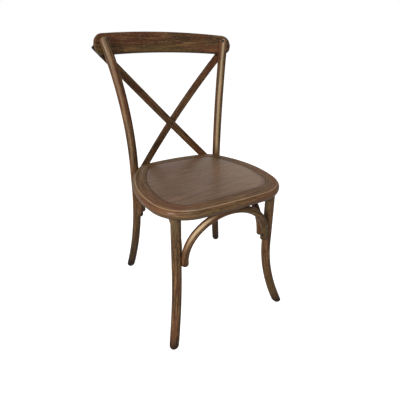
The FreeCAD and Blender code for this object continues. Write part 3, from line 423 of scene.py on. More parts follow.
hoops = {}
for node, (lean, *ends) in ARCHES.items():
    lean = math.radians(lean)
    first, second = [tail_beside(at(SPRING, side), *around_leg) for at, side, *around_leg in ends]
    span = float(np.linalg.norm(second - first)) / 2
    flat = hoop_line(span)
    line, normal = hoop_place(first, second, lean, flat[:, 0], flat[:, 1])
    hoops[node] = (first, second, lean, span)
    pieces[node] = rod(node + "_hoop", line, normal, ARCH_RADIUS, ARCH_ROUNDS, dark_ends,
                       painted_shoulder_highlight if node == "front_arch" else None, columns=ARCH_COLUMNS)
    print(node, "half span", round(span, 1), "ends at", round(float(line[0, 2]), 1))

# %% [markdown]
# ## The seat's outline
# The seat is a ring with a panel let into its top. Its outline is eight arcs that meet without a
# corner. A free curve would do too, but an arc's outward direction is known exactly, and moving
# the outline inwards only makes each radius smaller. So ring and panel share one function: the
# outline's point less its outward direction times the inset.

# %% Seat outline
SEAT_HALF_WIDTH, SEAT_FRONT, SEAT_BACK, WIDEST_FROM_FRONT = 229.0, 216.0, 207.5, 175.7
SIDE_RADIUS, BACK_RADIUS, FRONT_RADIUS = 367.0, 660.0, 2450.0
BACK_CORNER, FRONT_CORNER = 60.0, 121.0
# An arc is the x and y of its middle, and its radius.
SIDE_ARC = (SEAT_HALF_WIDTH - SIDE_RADIUS, WIDEST_FROM_FRONT - SEAT_FRONT, SIDE_RADIUS)
BACK_ARC = (0.0, SEAT_BACK - BACK_RADIUS, BACK_RADIUS)
FRONT_ARC = (0.0, FRONT_RADIUS - SEAT_FRONT, FRONT_RADIUS)


def corner_arc(first, second, radius):
    """The arc of a given radius that touches two larger arcs from inside, on the +X side."""
    (x1, y1, r1), (x2, y2, r2) = first, second
    apart = math.hypot(x2 - x1, y2 - y1)
    along = ((r1 - radius) ** 2 - (r2 - radius) ** 2 + apart**2) / (2 * apart)
    aside = math.sqrt((r1 - radius) ** 2 - along**2)
    ux, uy = (x2 - x1) / apart, (y2 - y1) / apart
    options = [(x1 + ux * along - s * uy * aside, y1 + uy * along + s * ux * aside, radius)
               for s in (1, -1)]
    return max(options)


def heading(centre, point):
    """Angle of the line from an arc's middle to a point."""
    return math.atan2(point[1] - centre[1], point[0] - centre[0])


def outline_points(spacing=3.0):
    """Points and outward directions round the seat, each arc shared out by its length."""
    back_corner = corner_arc(BACK_ARC, SIDE_ARC, BACK_CORNER)
    front_corner = corner_arc(FRONT_ARC, SIDE_ARC, FRONT_CORNER)
    arcs = [FRONT_ARC, front_corner, SIDE_ARC, back_corner, BACK_ARC]
    turns = [-math.pi / 2, heading(FRONT_ARC, front_corner), heading(SIDE_ARC, front_corner),
             heading(SIDE_ARC, back_corner), heading(BACK_ARC, back_corner), math.pi / 2]
    points, outward = [], []
    for (x, y, radius), start, end in zip(arcs, turns, turns[1:]):
        count = max(4, int(radius * abs(end - start) / spacing))
        turn = np.linspace(start, end, count, endpoint=False)
        direction = np.stack([np.cos(turn), np.sin(turn)], -1)
        points.append(np.array([x, y]) + radius * direction)
        outward.append(direction)
    points.append(np.array([[0.0, SEAT_BACK]]))
    outward.append(np.array([[0.0, 1.0]]))
    points, outward = np.concatenate(points), np.concatenate(outward)
    mirror = np.array([-1.0, 1.0])
    return (np.concatenate([points, points[-2:0:-1] * mirror]),
            np.concatenate([outward, outward[-2:0:-1] * mirror]))


seat_edge, seat_outward = outline_points()
seat_run = distances(seat_edge)
print("points round the seat:", len(seat_edge), "length:", round(float(seat_run[-1])), "mm")

# %% [markdown]
# ## The seat ring
# Such a ring is usually glued up from boards, with its edge rounded on a spindle. Its section is a
# closed list of insets and heights, rounded above and below and carried round the outline, as a
# cutter is. A slab with a Bevel would give the same rounds, but here the wear and the painted light
# can follow the section. Its opening is a plain round hole. Its tone follows how far the surface
# has turned from facing up: rubbed light with a painted highlight where the top bends over, painted
# shade down the side and below, painted shade on the far edge's round, and dark in the joint where
# the panel lies.

# %% Ring's section
RING_BAND, PANEL_THICKNESS, OPENING_RADIUS = 44.0, 9.0, 133.5
TOP_ROUND, BOTTOM_ROUND, TOP_STEPS, BOTTOM_STEPS = 13.0, 17.0, 25, 13
JOINT_ROUND, JOINT_BEND = 1.5, (0.4, 0.5)
# Extra points on the flats, so that the faces there stay small.
UNDER_INSET, TOP_INSETS = 30.0, (36.0, 25.0)
PANEL_FLOOR = SEAT_TOP - PANEL_THICKNESS


def quarter_arc(inset, height, radius, start, count):
    """Insets and heights on a quarter circle that starts at an angle, in the section's plane."""
    turn = np.linspace(start, start + math.pi / 2, count)
    return np.stack([inset + radius * np.cos(turn), height + radius * np.sin(turn)], -1)


outer = np.concatenate([
    quarter_arc(TOP_ROUND, SEAT_TOP - TOP_ROUND, TOP_ROUND, math.pi / 2, TOP_STEPS),
    quarter_arc(BOTTOM_ROUND, SEAT_UNDER + BOTTOM_ROUND, BOTTOM_ROUND, math.pi, BOTTOM_STEPS),
    [[UNDER_INSET, SEAT_UNDER], [RING_BAND, SEAT_UNDER]],
])
wall = [SEAT_UNDER, PANEL_FLOOR]
inner = np.array([
    [RING_BAND, PANEL_FLOOR], [RING_BAND, SEAT_TOP - JOINT_ROUND],
    [RING_BAND - JOINT_BEND[0], SEAT_TOP - JOINT_BEND[1]], [RING_BAND - JOINT_ROUND, SEAT_TOP],
    *[[inset, SEAT_TOP] for inset in TOP_INSETS],
])
print("points in the ring's section:", len(outer) + len(wall) + len(inner))

# %% Make the ring
# Rubbed light with a painted highlight where the top round turns, painted shade on the side and below, a
# dark joint, and painted shade on the upper round of the far edge.
WEAR_AND_HIGHLIGHT_BEND = dict(strength=0.4, tilt=21, width=6)
SHADED_SIDE = dict(strength=0.95, start=85, end=135)
DARK_JOINT = dict(strength=0.8, width=1.2)
FAR_PAINTED_SHADE = dict(strength=0.6, tilt=60, width=30, start=40, end=120)


def in_frame(flat, height):
    """Places in the model's frame from places on the seat's own plan and their heights."""
    level = np.broadcast_to(height, flat.shape[:2])
    return np.concatenate([flat - [0.0, SHIFT_BACK], level[..., None]], -1)


def around(section):
    """Places round the seat: the outline's point less its outward direction times the inset."""
    flat = seat_edge[:, None] - seat_outward[:, None] * section[None, :, :1]
    return in_frame(flat, section[:, 1])


def opening_wall(heights):
    """Places on the round opening, each on the straight line from the seat's middle to the edge."""
    flat = np.broadcast_to(OPENING_RADIUS * unit(seat_edge)[:, None], (len(seat_edge), len(heights), 2))
    return in_frame(flat, heights)


def ring_tone(insets):
    """Wear, painted highlight and painted shade by the section's tilt in degrees: 0 faces up, 90 faces
    out, 180 faces down.
    """
    flat_under = len(outer) - TOP_STEPS - BOTTOM_STEPS + len(wall)
    tilt = np.concatenate([np.linspace(0, 90, TOP_STEPS), np.linspace(90, 180, BOTTOM_STEPS),
                           np.full(flat_under, 180), np.zeros(len(inner))])
    rim_wear_and_highlight = WEAR_AND_HIGHLIGHT_BEND["strength"] * bell(tilt - WEAR_AND_HIGHLIGHT_BEND["tilt"], WEAR_AND_HIGHLIGHT_BEND["width"])
    shaded = SHADED_SIDE["strength"] * ramp(tilt, SHADED_SIDE["start"], SHADED_SIDE["end"])
    joint = DARK_JOINT["strength"] * bell(insets - RING_BAND, DARK_JOINT["width"])
    behind = ramp(seat_edge[:, 1:], FAR_PAINTED_SHADE["start"], FAR_PAINTED_SHADE["end"])
    far_painted_shade = FAR_PAINTED_SHADE["strength"] * bell(tilt - FAR_PAINTED_SHADE["tilt"], FAR_PAINTED_SHADE["width"]) * behind
    return rim_wear_and_highlight - shaded - joint - far_painted_shade


ring_points = np.concatenate([around(outer), opening_wall(wall), around(inner)], 1)
insets = np.concatenate([outer[:, 0], np.full(len(wall), RING_BAND), inner[:, 0]])
ring_timber = np.stack([np.broadcast_to(seat_run[:, None], ring_points.shape[:2]),
                        np.broadcast_to(insets, ring_points.shape[:2]), ring_points[..., 2]], -1)
pieces["seat_ring"] = surface("seat_ring_board", ring_points, ring_timber, ring_tone(insets),
                              wrap_rows=True)
print("points in the ring:", ring_points.shape[0] * ring_points.shape[1])

# %% [markdown]
# ## The seat panel
# The panel is plywood pressed with a shallow dish and set into the ring with a fine joint. Its
# rows go from its rounded edge to its middle by shrinking the outline towards the middle, which
# needs no corner and no cut. The dish is deepest in the middle and gone before the edge.

# %% Panel
DISH_DEPTH, DISH_RADIUS, DISH_EASE = 4.0, 160.0, 1.5
PANEL_ROWS, FIRST_SHARE = 30, 0.985
# The rounded edge has three rows, with how far each is in from the joint and down from the top.
EDGE_INSET, EDGE_DROP, FACE_INSET = [0.6, 0.6, 1.2], [1.8, 1.0, 0.3], 1.8
EDGE_TONE, RIM_DARKNESS, RIM_REACH = [-1.0, -0.7, -0.2], 0.25, 0.04
# A painted reflection makes the panel a little lighter towards the sitter's left, by this much over this
# distance.
SIDE_PAINTED_SHEEN, SIDE_REACH = 0.14, 180.0

share = np.concatenate([np.ones(len(EDGE_INSET)), np.linspace(FIRST_SHARE, 0.0, PANEL_ROWS)])
inset = RING_BAND + np.array(EDGE_INSET + [FACE_INSET] * PANEL_ROWS)
drop = np.array(EDGE_DROP + [0.0] * PANEL_ROWS)
flat = (seat_edge[None] - seat_outward[None] * inset[:, None, None]) * share[:, None, None]
from_middle = np.linalg.norm(flat, axis=-1)
dish = DISH_DEPTH * np.clip(1 - (from_middle / DISH_RADIUS) ** 2, 0, 1) ** DISH_EASE
top = in_frame(flat, SEAT_TOP - dish - drop[:, None])
under = in_frame(flat[:1], PANEL_FLOOR)
under_middle = in_frame(np.zeros_like(flat[:1]), PANEL_FLOOR)
panel_points = np.concatenate([under_middle, under, top])
rim = -RIM_DARKNESS * bell(1 - share[len(EDGE_INSET):], RIM_REACH)
panel_tone = np.concatenate([[0, 0], EDGE_TONE, rim])[:, None]
# Painted reflection: the panel grows lighter towards the sitter's left.
panel_tone = panel_tone + SIDE_PAINTED_SHEEN * panel_points[..., 0] / SIDE_REACH
pieces["seat_panel"] = surface("seat_panel_board", panel_points, panel_points.copy(), panel_tone)
print("panel rows:", len(panel_points))

# %% [markdown]
# ## Boards with rounded edges
# The crest rail and the slats are boards with a rounded edge. Such a board is its outline, drawn
# flat, carried through a list of steps: from the front's middle line out to the edge, round the
# edge, and back to the middle line behind. Drawn flat, a point has a length along the board, a
# height across it and a depth. A second function then bends the flat board to its place. A
# bevelled slab and a bending modifier would do too, but the edges' dark bands and painted highlight
# are easier to place on the grid.

# %% Board helper
BOARD_STEPS = 6
# Where the band on an edge's round lies, and how wide it is, as shares of its round. It darkens the edges
# and carries the painted highlight on the crest's end.
EDGE_BAND_AT, EDGE_BAND_WIDTH = 0.6, 0.45


def board(name, outline, middle, outward, thickness, edge, place, tone_at):
    """Rows: middle line, face, quarter round, quarter round, face, middle line; then bent to place."""
    quarter = np.linspace(0, math.pi / 2, BOARD_STEPS)
    faces = np.linspace(0, 1, BOARD_STEPS)[:-1]
    half = thickness / 2
    rows = [middle + (outline - outward * edge - middle) * part for part in faces]
    rows += [outline - outward * edge * (1 - math.sin(turn)) for turn in quarter]
    depth = np.concatenate([np.full(len(faces), -half), edge * (1 - np.cos(quarter)) - half])
    grid = np.stack(rows + rows[::-1])
    deep = np.concatenate([depth, -depth[::-1]])
    flat = np.concatenate([grid, np.broadcast_to(deep[:, None, None], (*grid.shape[:2], 1))], -1)
    # The band carries the edges' darkening and the crest end's painted highlight.
    edge_near = bell(np.abs(deep) - half + edge * EDGE_BAND_AT, edge * EDGE_BAND_WIDTH)[:, None]
    return surface(name, place(flat), flat, tone_at(flat, edge_near))


def strip_outline(left, right, top, bottom, corner, count):
    """A long outline in length and height, its four corners rounded, with its outward directions."""
    length = np.linspace(left, right, count)
    near = np.clip(np.maximum(left + corner - length, length - right + corner) / corner, 0, 1)
    drop = corner * (1 - np.sqrt(1 - near**2))
    upper = np.stack([length, top(length) - drop], -1)
    lower = np.stack([length, bottom(length) + drop], -1)
    outline = np.concatenate([upper, lower[::-1]])
    ahead = np.roll(outline, -1, axis=0) - np.roll(outline, 1, axis=0)
    outward = unit(np.stack([-ahead[:, 1], ahead[:, 0]], -1))
    inside = np.clip(outline[:, 0], left + corner, right - corner)
    middle = np.stack([inside, (top(inside) + bottom(inside)) / 2], -1)
    return outline, middle, outward


print("rows of a board:", 2 * (2 * BOARD_STEPS - 1))

# %% [markdown]
# ## The crest rail
# The crest is a board with an arched top and a flatter arched bottom, bent to a curve that holds
# the sitter's back and leaning a little. It lies behind the posts, and its ends are round. Seen
# from above, a length along the board becomes an angle on the bend's circle, so the board keeps
# its thickness wherever it bends.

# %% Crest's shape
CREST = dict(height=66.5, thickness=18.0, half=251.7, middle=SEAT_TOP + 411.0, bend=870.0,
             top=1620.0, bottom=1870.0, lean=math.radians(10.4), housing=1.5, corner=29.2, edge=5.0)


def crest_top(x):
    """Upper edge of the flat board: half its height less the top arc's bow."""
    return CREST["height"] / 2 - bow(CREST["top"], x)


def crest_bottom(x):
    """Lower edge of the flat board, which droops a little less at the ends."""
    return -CREST["height"] / 2 - bow(CREST["bottom"], x)


def crest_level(x):
    """Height of the crest's middle line."""
    return CREST["middle"] + (crest_top(x) + crest_bottom(x)) / 2


def post_at_crest():
    """The post's middle at the crest's height, found by going round a few times."""
    x, y = REAR_X, 0.0
    for _ in range(4):
        x, y, _height = rear_at(crest_level(x), 1)
    return x, y


def crest_face(x, height):
    """Depth of the crest's front: the post's back less the housing, along the bend and the lean."""
    post_x, post_y = post_at_crest()
    start = post_y + LEG_RADIUS - CREST["housing"] + bow(CREST["bend"], post_x)
    return start - bow(CREST["bend"], x) + math.tan(CREST["lean"]) * (height - crest_level(post_x))


print("post at the crest:", rounded(post_at_crest()))

# %% Make the crest rail
CREST_POINTS = 181
EDGE_DARKNESS, CREST_LIGHTNESS = 0.5, 0.06
# The end at the sitter's right has a painted highlight on its edge and painted shade on its face: how much
# its edge gains and its face loses.
END_EDGE_HIGHLIGHT, END_FACE_SHADE = 0.55, 0.25
END_START, END_FULL = CREST["half"] - 30, CREST["half"] - 10


def crest_place(flat):
    """Depth follows a circle round the bend's middle, then the whole board leans about its middle."""
    x, z, deep = flat[..., 0], flat[..., 1], flat[..., 2]
    radius = CREST["bend"] + CREST["thickness"] / 2 + deep
    y = np.sqrt(radius**2 - x**2) - CREST["bend"]
    lean = CREST["lean"]
    start_y = crest_face(0.0, CREST["middle"])
    return np.stack([x, start_y + y * math.cos(lean) + z * math.sin(lean),
                     CREST["middle"] + z * math.cos(lean) - y * math.sin(lean)], -1)


def crest_tone(flat, near):
    """Dark along the edges, a painted highlight round the end at the sitter's right and painted shade on
    its face.
    """
    # Painted highlight on the end's edge, painted shade on the end's face.
    end = ramp(-flat[..., 0], END_START, END_FULL)
    return near * (END_EDGE_HIGHLIGHT * end - EDGE_DARKNESS) - END_FACE_SHADE * end + CREST_LIGHTNESS


crest_outline = strip_outline(-CREST["half"], CREST["half"], crest_top, crest_bottom,
                              CREST["corner"], CREST_POINTS)
pieces["crest_rail"] = board("crest_rail_board", *crest_outline, CREST["thickness"], CREST["edge"],
                             crest_place, crest_tone)
print("points round the crest:", len(crest_outline[0]))

# %% [markdown]
# ## The crossed slats
# Two thin strips cross behind the sitter, one over the other, and meet at a single screw. Their
# heads lie flat on the back of the bent crest and their feet on the bent edge of the seat, so each
# strip twists along its length. Its middle line is a parabola through foot, crossing and head, and
# its turn grows evenly from the crossing to each end.

# %% Slat's line and twist
SLAT = dict(width=28.0, thickness=9.0, rise=math.tan(math.radians(47.6)), crossing=SEAT_TOP + 128.9,
            head=217.5, tip=248.0, housing=2.0, belly=15.6, end_below_top=24.0, corner=2.0, edge=4.3)
# The side that a slat's head is at, and its layer at the crossing: -1 in front, 1 behind.
SLATS = {"front_cross_slat": (-1, -1), "rear_cross_slat": (1, 1)}
SLAT_FOOT = (SLAT["crossing"] - SEAT_TOP + SEAT_THICKNESS / 2) / SLAT["rise"]
SLAT_LOW = (SLAT["crossing"] - SEAT_TOP + SLAT["end_below_top"]) / SLAT["rise"]


def seat_back_at(x):
    """Depth of the seat's back edge at x, and how far it has turned from square there."""
    back_corner = corner_arc(BACK_ARC, SIDE_ARC, BACK_CORNER)
    touch = back_corner[0] * BACK_ARC[2] / (BACK_ARC[2] - back_corner[2])
    cx, cy, radius = back_corner if x > touch else BACK_ARC
    return cy + math.sqrt(radius**2 - (x - cx) ** 2), -math.asin((x - cx) / radius)


def slat_shape(layer):
    """Functions for a slat's depth and turn at a distance x along the cross direction."""
    half, foot, head = SLAT["thickness"] / 2, SLAT_FOOT, SLAT["head"]
    edge_y, foot_turn = seat_back_at(foot)
    foot_y = edge_y + (half - SLAT["housing"]) / math.cos(foot_turn)
    head_turn = math.asin(head / CREST["bend"])
    behind = CREST["thickness"] - SLAT["housing"] + half
    face_y = crest_face(head, SLAT["crossing"] + SLAT["rise"] * head) + SHIFT_BACK
    head_y = face_y + behind / math.cos(head_turn)
    middle_y = foot_y + (head_y - foot_y) * foot / (foot + head) + SLAT["belly"] + layer * half

    def depth(x):
        """The parabola through the three depths: each times the two other places' distances."""
        to_foot = foot_y * x * (x - head) / (foot * (foot + head))
        to_cross = -middle_y * (x + foot) * (x - head) / (foot * head)
        return to_foot + to_cross + head_y * x * (x + foot) / (head * (foot + head))

    def turn(x):
        """Nothing at the crossing, growing evenly to the foot's turn and to the head's."""
        return np.where(x < 0, foot_turn * -x / foot, head_turn * x / head)

    return depth, turn


def slat_frame(x, side, layer):
    """Middle point of a slat at x and its three directions: ahead, across and towards the back."""
    depth, turn = slat_shape(layer)

    def place(at):
        """Middle line: the side times x, the depth, and a height that rises evenly."""
        return np.stack([side * at, depth(at) - SHIFT_BACK, SLAT["crossing"] + SLAT["rise"] * at], -1)

    ahead = unit(place(x + SLAT["thickness"]) - place(x))
    back = np.stack([side * np.sin(turn(x)), np.cos(turn(x)), np.zeros_like(x)], -1)
    back = unit(back - ahead * (back * ahead).sum(-1, keepdims=True))
    return place(x), ahead, np.cross(back, ahead), back


print("slats from", round(-SLAT_LOW, 1), "to", SLAT["tip"], "mm from the middle line")

# %% Make the slats
SLAT_POINTS = 121
# Painted shade towards a slat's tip: how far it reaches and how strong it is; and the edges' darkness.
TIP_SHADE_REACH, TIP_PAINTED_SHADE, SLAT_EDGE_DARKNESS = 45.0, 0.8, 0.5


def make_slat(name, side, layer):
    """A straight strip, bent and twisted so that its length follows the middle line."""
    stretch = math.hypot(1, SLAT["rise"])
    half, tip = SLAT["width"] / 2, SLAT["tip"] * stretch

    def upper(length):
        """The strip's upper edge, straight."""
        return np.full_like(length, half)

    def lower(length):
        """The strip's lower edge, straight."""
        return np.full_like(length, -half)

    def place(flat):
        """The middle line's point, plus the height across and the depth towards the back."""
        middle_point, _ahead, across, back = slat_frame(flat[..., 0] / stretch, side, layer)
        return middle_point + across * flat[..., 1:2] + back * flat[..., 2:3]

    def tone(flat, near):
        """Dark along the edges, and painted shade towards the tip."""
        return -SLAT_EDGE_DARKNESS * near - TIP_PAINTED_SHADE * bell(tip - flat[..., 0], TIP_SHADE_REACH)

    outline = strip_outline(-SLAT_LOW * stretch, tip, upper, lower, SLAT["corner"], SLAT_POINTS)
    return board(name, *outline, SLAT["thickness"], SLAT["edge"], place, tone)


for node, (side, layer) in SLATS.items():
    pieces[node] = make_slat(node + "_strip", side, layer)
    print(node, "points:", len(pieces[node].data.vertices))

# %% [markdown]
# ## Screws and bolts
# Every joint has a screw whose head sits at the bottom of a short round hole. A head is a lathe
# shape: its height is a function of the distance from its middle, with a cross pressed into it.
# The cross is a soft step of the distance to the nearer of two lines, so it needs no cut. All
# heads of a kind are one mesh, because they are one node of the model.

# %% Screw heads
SCREW = dict(head=4.25, rise=2.8, hole=5.0, sink=4.0)
BOLT = dict(head=6.5, rise=4.0, hole=7.5, sink=5.0)
HEAD_COLUMNS = 48
# Distances from a head's middle as shares of its radius: over the crown, down the rim, back under.
HEAD_SHARES = np.concatenate([np.linspace(0, 0.9, 22), [0.96, 1.0, 1.0, 0.0]])
# The crown's height at the rim as a share of the rise, and the cross as shares of the head.
RIM_HEIGHT = 0.55
CROSS_WIDTH, CROSS_REACH, CROSS_DEPTH = 0.11, 0.55, 0.4
CROSS_WALL_STEEPNESS, CROSS_END_STEEPNESS = 59.5, 9.0


def axes_for(along):
    """A direction and two others square to it."""
    along = unit(np.asarray(along, float))
    helper = np.array([0.0, 0.0, 1.0]) if abs(along[2]) < 0.9 else np.array([1.0, 0.0, 0.0])
    first = unit(np.cross(along, helper))
    return along, first, np.cross(along, first)


def soft_step(value):
    """One below nothing and none above it: 1 / (1 + exp(value))."""
    return 1 / (1 + np.exp(value))


def head_grid(start, along, kind):
    """A domed head: height = rise * (rim + (1 - rim) * sqrt(1 - share^2) - depth * cross)."""
    along, first, second = axes_for(along)
    radius, rise = kind["head"], kind["rise"]
    turn = full_turn(HEAD_COLUMNS)
    x = radius * HEAD_SHARES[:, None] * np.cos(turn)
    y = radius * HEAD_SHARES[:, None] * np.sin(turn)
    dome = np.sqrt(np.clip(1 - HEAD_SHARES**2, 0, 1))[:, None]
    line = np.minimum(np.abs(x), np.abs(y)) / radius - CROSS_WIDTH
    end = np.hypot(x, y) - CROSS_REACH * radius
    cross = soft_step(line * CROSS_WALL_STEEPNESS) * soft_step(end * CROSS_END_STEEPNESS)
    crown = rise * (RIM_HEIGHT + (1 - RIM_HEIGHT) * dome - CROSS_DEPTH * cross)
    crown[-2:] = 0.0
    return start + along * (kind["sink"] - crown[..., None]) + first * x[..., None] + second * y[..., None]


def group(name, grids):
    """One mesh from several closed grids of the same shape."""
    rows, columns = grids[0].shape[:2]
    one = grid_faces(rows, columns)
    faces = np.concatenate([one + number * rows * columns for number in range(len(grids))])
    piece = new_piece(name, np.stack(grids), faces.tolist())
    close_up(piece.data)
    piece.data.shade_smooth()
    return piece


print("points in one head:", head_grid(np.zeros(3), (0.0, 0.0, 1.0), SCREW).size // 3)

# %% [markdown]
# ### Where the screws sit
# A place is the point where a hole starts on the wood's surface, and the direction it runs in.
# Each hoop has a screw into each leg, square to both rods, and one up through its crown into the
# seat. The posts have a screw each into the crest, the rear legs a bolt each into the seat's edge,
# and the slats a screw at head and foot, and one where they cross. All places follow from the
# rods' own lines, so they stay on the wood when a line changes.

# %% Places on the braces
SCREW_ABOVE_END = {"front_arch": 22.0, "rear_arch": 22.0, "left_arch": 11.0, "right_arch": 11.0}
UP = np.array([0.0, 0.0, 1.0])

arch_places, seat_places = {}, {}
for node, (_lean, *ends) in ARCHES.items():
    first, second, lean, span = hoops[node]
    above = (SCREW_ABOVE_END[node] - ARCH_TAIL) / math.cos(lean)
    spots, _normal = hoop_place(first, second, lean, np.array([-span, span, 0.0]),
                                np.array([above, above, ARCH_RISE]))
    arch_places[node] = []
    for (at, side, *_rest), tail in zip(ends, spots):
        along = unit(at(tail[2], side) - tail)
        arch_places[node].append((tail - along * ARCH_RADIUS, along))
    seat_places[node] = [(spots[2] - UP * ARCH_RADIUS, UP)]
print("screws in the braces:", sum(len(found) for found in [*arch_places.values(), *seat_places.values()]))

# %% Places on the back
CREST_SCREW_RISE = 15.5

crest_places, bolt_places, head_places, foot_places = {}, {}, {}, {}
crest_screw_height = crest_level(post_at_crest()[0]) + CREST_SCREW_RISE
for word, side in SIDES.items():
    along = np.array([side * math.sin(REAR_TURN), math.cos(REAR_TURN) * math.cos(CREST["lean"]),
                      -math.cos(REAR_TURN) * math.sin(CREST["lean"])])
    crest_places[word] = (rear_at(crest_screw_height, side) - along * LEG_RADIUS, along)
    away = unit(np.array([side * REAR_X, REAR_Y, 0.0]))
    leg = np.array([side * REAR_X, REAR_Y - SHIFT_BACK, SEAT_TOP - SEAT_THICKNESS / 2])
    bolt_places[word] = (leg + away * LEG_RADIUS, -away)
for node, (side, layer) in SLATS.items():
    for found, x in ((head_places, SLAT["head"]), (foot_places, -SLAT_FOOT)):
        place, _ahead, _across, back = slat_frame(np.array(x), side, layer)
        found[node] = (place + back * SLAT["thickness"] / 2, -back)
place, _ahead, _across, back = slat_frame(np.array(0.0), *SLATS["front_cross_slat"])
crossing_place = (place - back * SLAT["thickness"] / 2, back)
print("height of the crossing screw:", round(float(crossing_place[0][2]), 1))

# %% [markdown]
# ### Holes and heads
# The holes are cut from the wood with one Boolean per piece and size, because a drilled hole has a
# sharp mouth that a grid can't give. The drill is a prism of many sides that starts clear of the
# wood and ends at the head's seat. The heads are made last and set on those seats.

# %% Drill and make the heads
DRILL_SIDES, DRILL_CLEARANCE = 32, 6.0


def drill(piece, places, kind):
    """Cuts a round hole at each place, from outside the wood down to the head's seat."""
    turn = full_turn(DRILL_SIDES)
    corner = np.arange(DRILL_SIDES)
    after = (corner + 1) % DRILL_SIDES
    points, faces = [], []
    for number, (start, along) in enumerate(places):
        along, first, second = axes_for(along)
        ring = kind["hole"] * (np.cos(turn)[:, None] * first + np.sin(turn)[:, None] * second)
        points += [start + along * kind["sink"] + ring, start - along * DRILL_CLEARANCE + ring]
        low = number * 2 * DRILL_SIDES
        high = low + DRILL_SIDES
        faces += np.stack([low + corner, low + after, high + after, high + corner], -1).tolist()
        faces += [(low + corner[::-1]).tolist(), (high + corner).tolist()]
    tool = new_piece("drill", np.concatenate(points), faces)
    close_up(tool.data)
    cut = piece.modifiers.new("holes", "BOOLEAN")
    cut.operation, cut.solver, cut.object = "DIFFERENCE", "EXACT", tool
    drilled = piece.evaluated_get(bpy.context.evaluated_depsgraph_get())
    result = bpy.data.meshes.new_from_object(drilled)
    piece.modifiers.clear()
    before = len(piece.data.polygons)
    piece.data = result
    bpy.data.objects.remove(tool)
    print(piece.name, "drilled:", before, "->", len(result.polygons))


for node in ARCHES:
    drill(pieces[node], arch_places[node] + seat_places[node], SCREW)
for word in SIDES:
    drill(pieces[f"{word}_rear_leg"], [crest_places[word]], SCREW)
    drill(pieces[f"{word}_rear_leg"], [bolt_places[word]], BOLT)
for node in SLATS:
    crossing = [crossing_place] if node == "front_cross_slat" else []
    drill(pieces[node], [*crossing, head_places[node], foot_places[node]], SCREW)

heads = {
    "arch_leg_screw": (sum(arch_places.values(), []), SCREW),
    "arch_seat_screw": (sum(seat_places.values(), []), SCREW),
    "crest_screw": (list(crest_places.values()), SCREW),
    "rear_leg_bolt": (list(bolt_places.values()), BOLT),
    "slat_head_screw": (list(head_places.values()), SCREW),
    "slat_foot_screw": (list(foot_places.values()), SCREW),
}
for word, (places, kind) in heads.items():
    grids = [head_grid(start, along, kind) for start, along in places]
    pieces[word + "s"] = group(word + "_heads", grids)
pieces["crossing_screw"] = group("crossing_screw_head", [head_grid(*crossing_place, SCREW)])
print("kinds of heads:", len(heads) + 1)

# %% [markdown]
# ## The glides
# A glide is a moulded disc under each foot that keeps the wood off the floor. It is a lathe shape
# too, flat below with a rounded rim, and its pin is hidden in the leg. A bevelled cylinder would
# look alike, but the screw heads have already brought the function that groups such shapes.

# %% Glides
GLIDE_RADIUS, GLIDE_RIM, GLIDE_COLUMNS, RIM_STEPS = 10.0, 1.5, 48, 6


def glide_grid(foot):
    """A lathe shape: flat below, a quarter circle at the rim, then up to the foot."""
    quarter = np.linspace(0, math.pi / 2, RIM_STEPS)
    radius = np.concatenate([[0.0], GLIDE_RADIUS - GLIDE_RIM * (1 - np.sin(quarter)), [GLIDE_RADIUS, 0.0]])
    height = np.concatenate([[0.0], GLIDE_RIM * (1 - np.cos(quarter)), [GLIDE_HEIGHT, GLIDE_HEIGHT]])
    turn = full_turn(GLIDE_COLUMNS)
    flat = foot[:2] + radius[:, None, None] * np.stack([np.cos(turn), np.sin(turn)], -1)
    return np.concatenate([flat, np.broadcast_to(height[:, None, None], (*flat.shape[:2], 1))], -1)


feet = [at(GLIDE_HEIGHT, side) for at in (front_at, rear_at) for side in SIDES.values()]
pieces["foot_glides"] = group("foot_glide_discs", [glide_grid(foot) for foot in feet])
print("pieces:", len(pieces))

# %% [markdown]
# ## Finishes
# Every finish is built from nodes, which need no picture and stay sharp from any distance. One
# helper adds any node with its settings and its inputs, and one function turns a hex colour to
# Blender's linear numbers. Three more say what is done to a surface: a pattern of spots of a real
# size, a colour laid over another where a value is high, and a shader dressed in colour, roughness
# and relief.

# %% Material helpers
# A noise seldom leaves this range.
NOISE_LOW, NOISE_HIGH = 0.3, 0.7


def linear(hex_colour):
    """sRGB to linear: divide by 12.92 near black, else raise (value + 0.055) / 1.055 to 2.4."""
    values = np.array([int(hex_colour[at:at + 2], 16) / 255 for at in (1, 3, 5)])
    values = np.where(values <= 0.04045, values / 12.92, ((values + 0.055) / 1.055) ** 2.4)
    return (*values.tolist(), 1.0)


def add_node(tree, kind, inputs=None, **settings):
    """Adds a node with its settings, then links each input to a socket or gives it a value."""
    node = tree.nodes.new(kind)
    for name, value in settings.items():
        setattr(node, name, value)
    for name, value in (inputs or {}).items():
        if isinstance(value, bpy.types.NodeSocket):
            tree.links.new(value, node.inputs[name])
        else:
            node.inputs[name].default_value = value
    return node


def lay_over(tree, below, above, value, low, high, most=1.0):
    """Lays a colour over another as a value goes from low to high, up to a share of most."""
    share = add_node(tree, "ShaderNodeMapRange",
                     {"Value": value, "From Min": low, "From Max": high, "To Max": most})
    laid = add_node(tree, "ShaderNodeMix", {0: share.outputs["Result"], 6: below, 7: above},
                    data_type="RGBA")
    return laid.outputs[2]


def pattern(tree, place, along, across, detail, rough=0.55, distortion=0.0):
    """A noise whose spots are about along mm long with the grain and across mm wide."""
    per_metre = (1 / (along * MM), 1 / (across * MM), 1 / (across * MM))
    stretch = add_node(tree, "ShaderNodeVectorMath", {0: place, 1: per_metre}, operation="MULTIPLY")
    noise = add_node(tree, "ShaderNodeTexNoise",
                     {"Vector": stretch.outputs[0], "Scale": 1.0, "Detail": detail, "Roughness": rough,
                      "Distortion": distortion})
    return noise.outputs["Fac"]


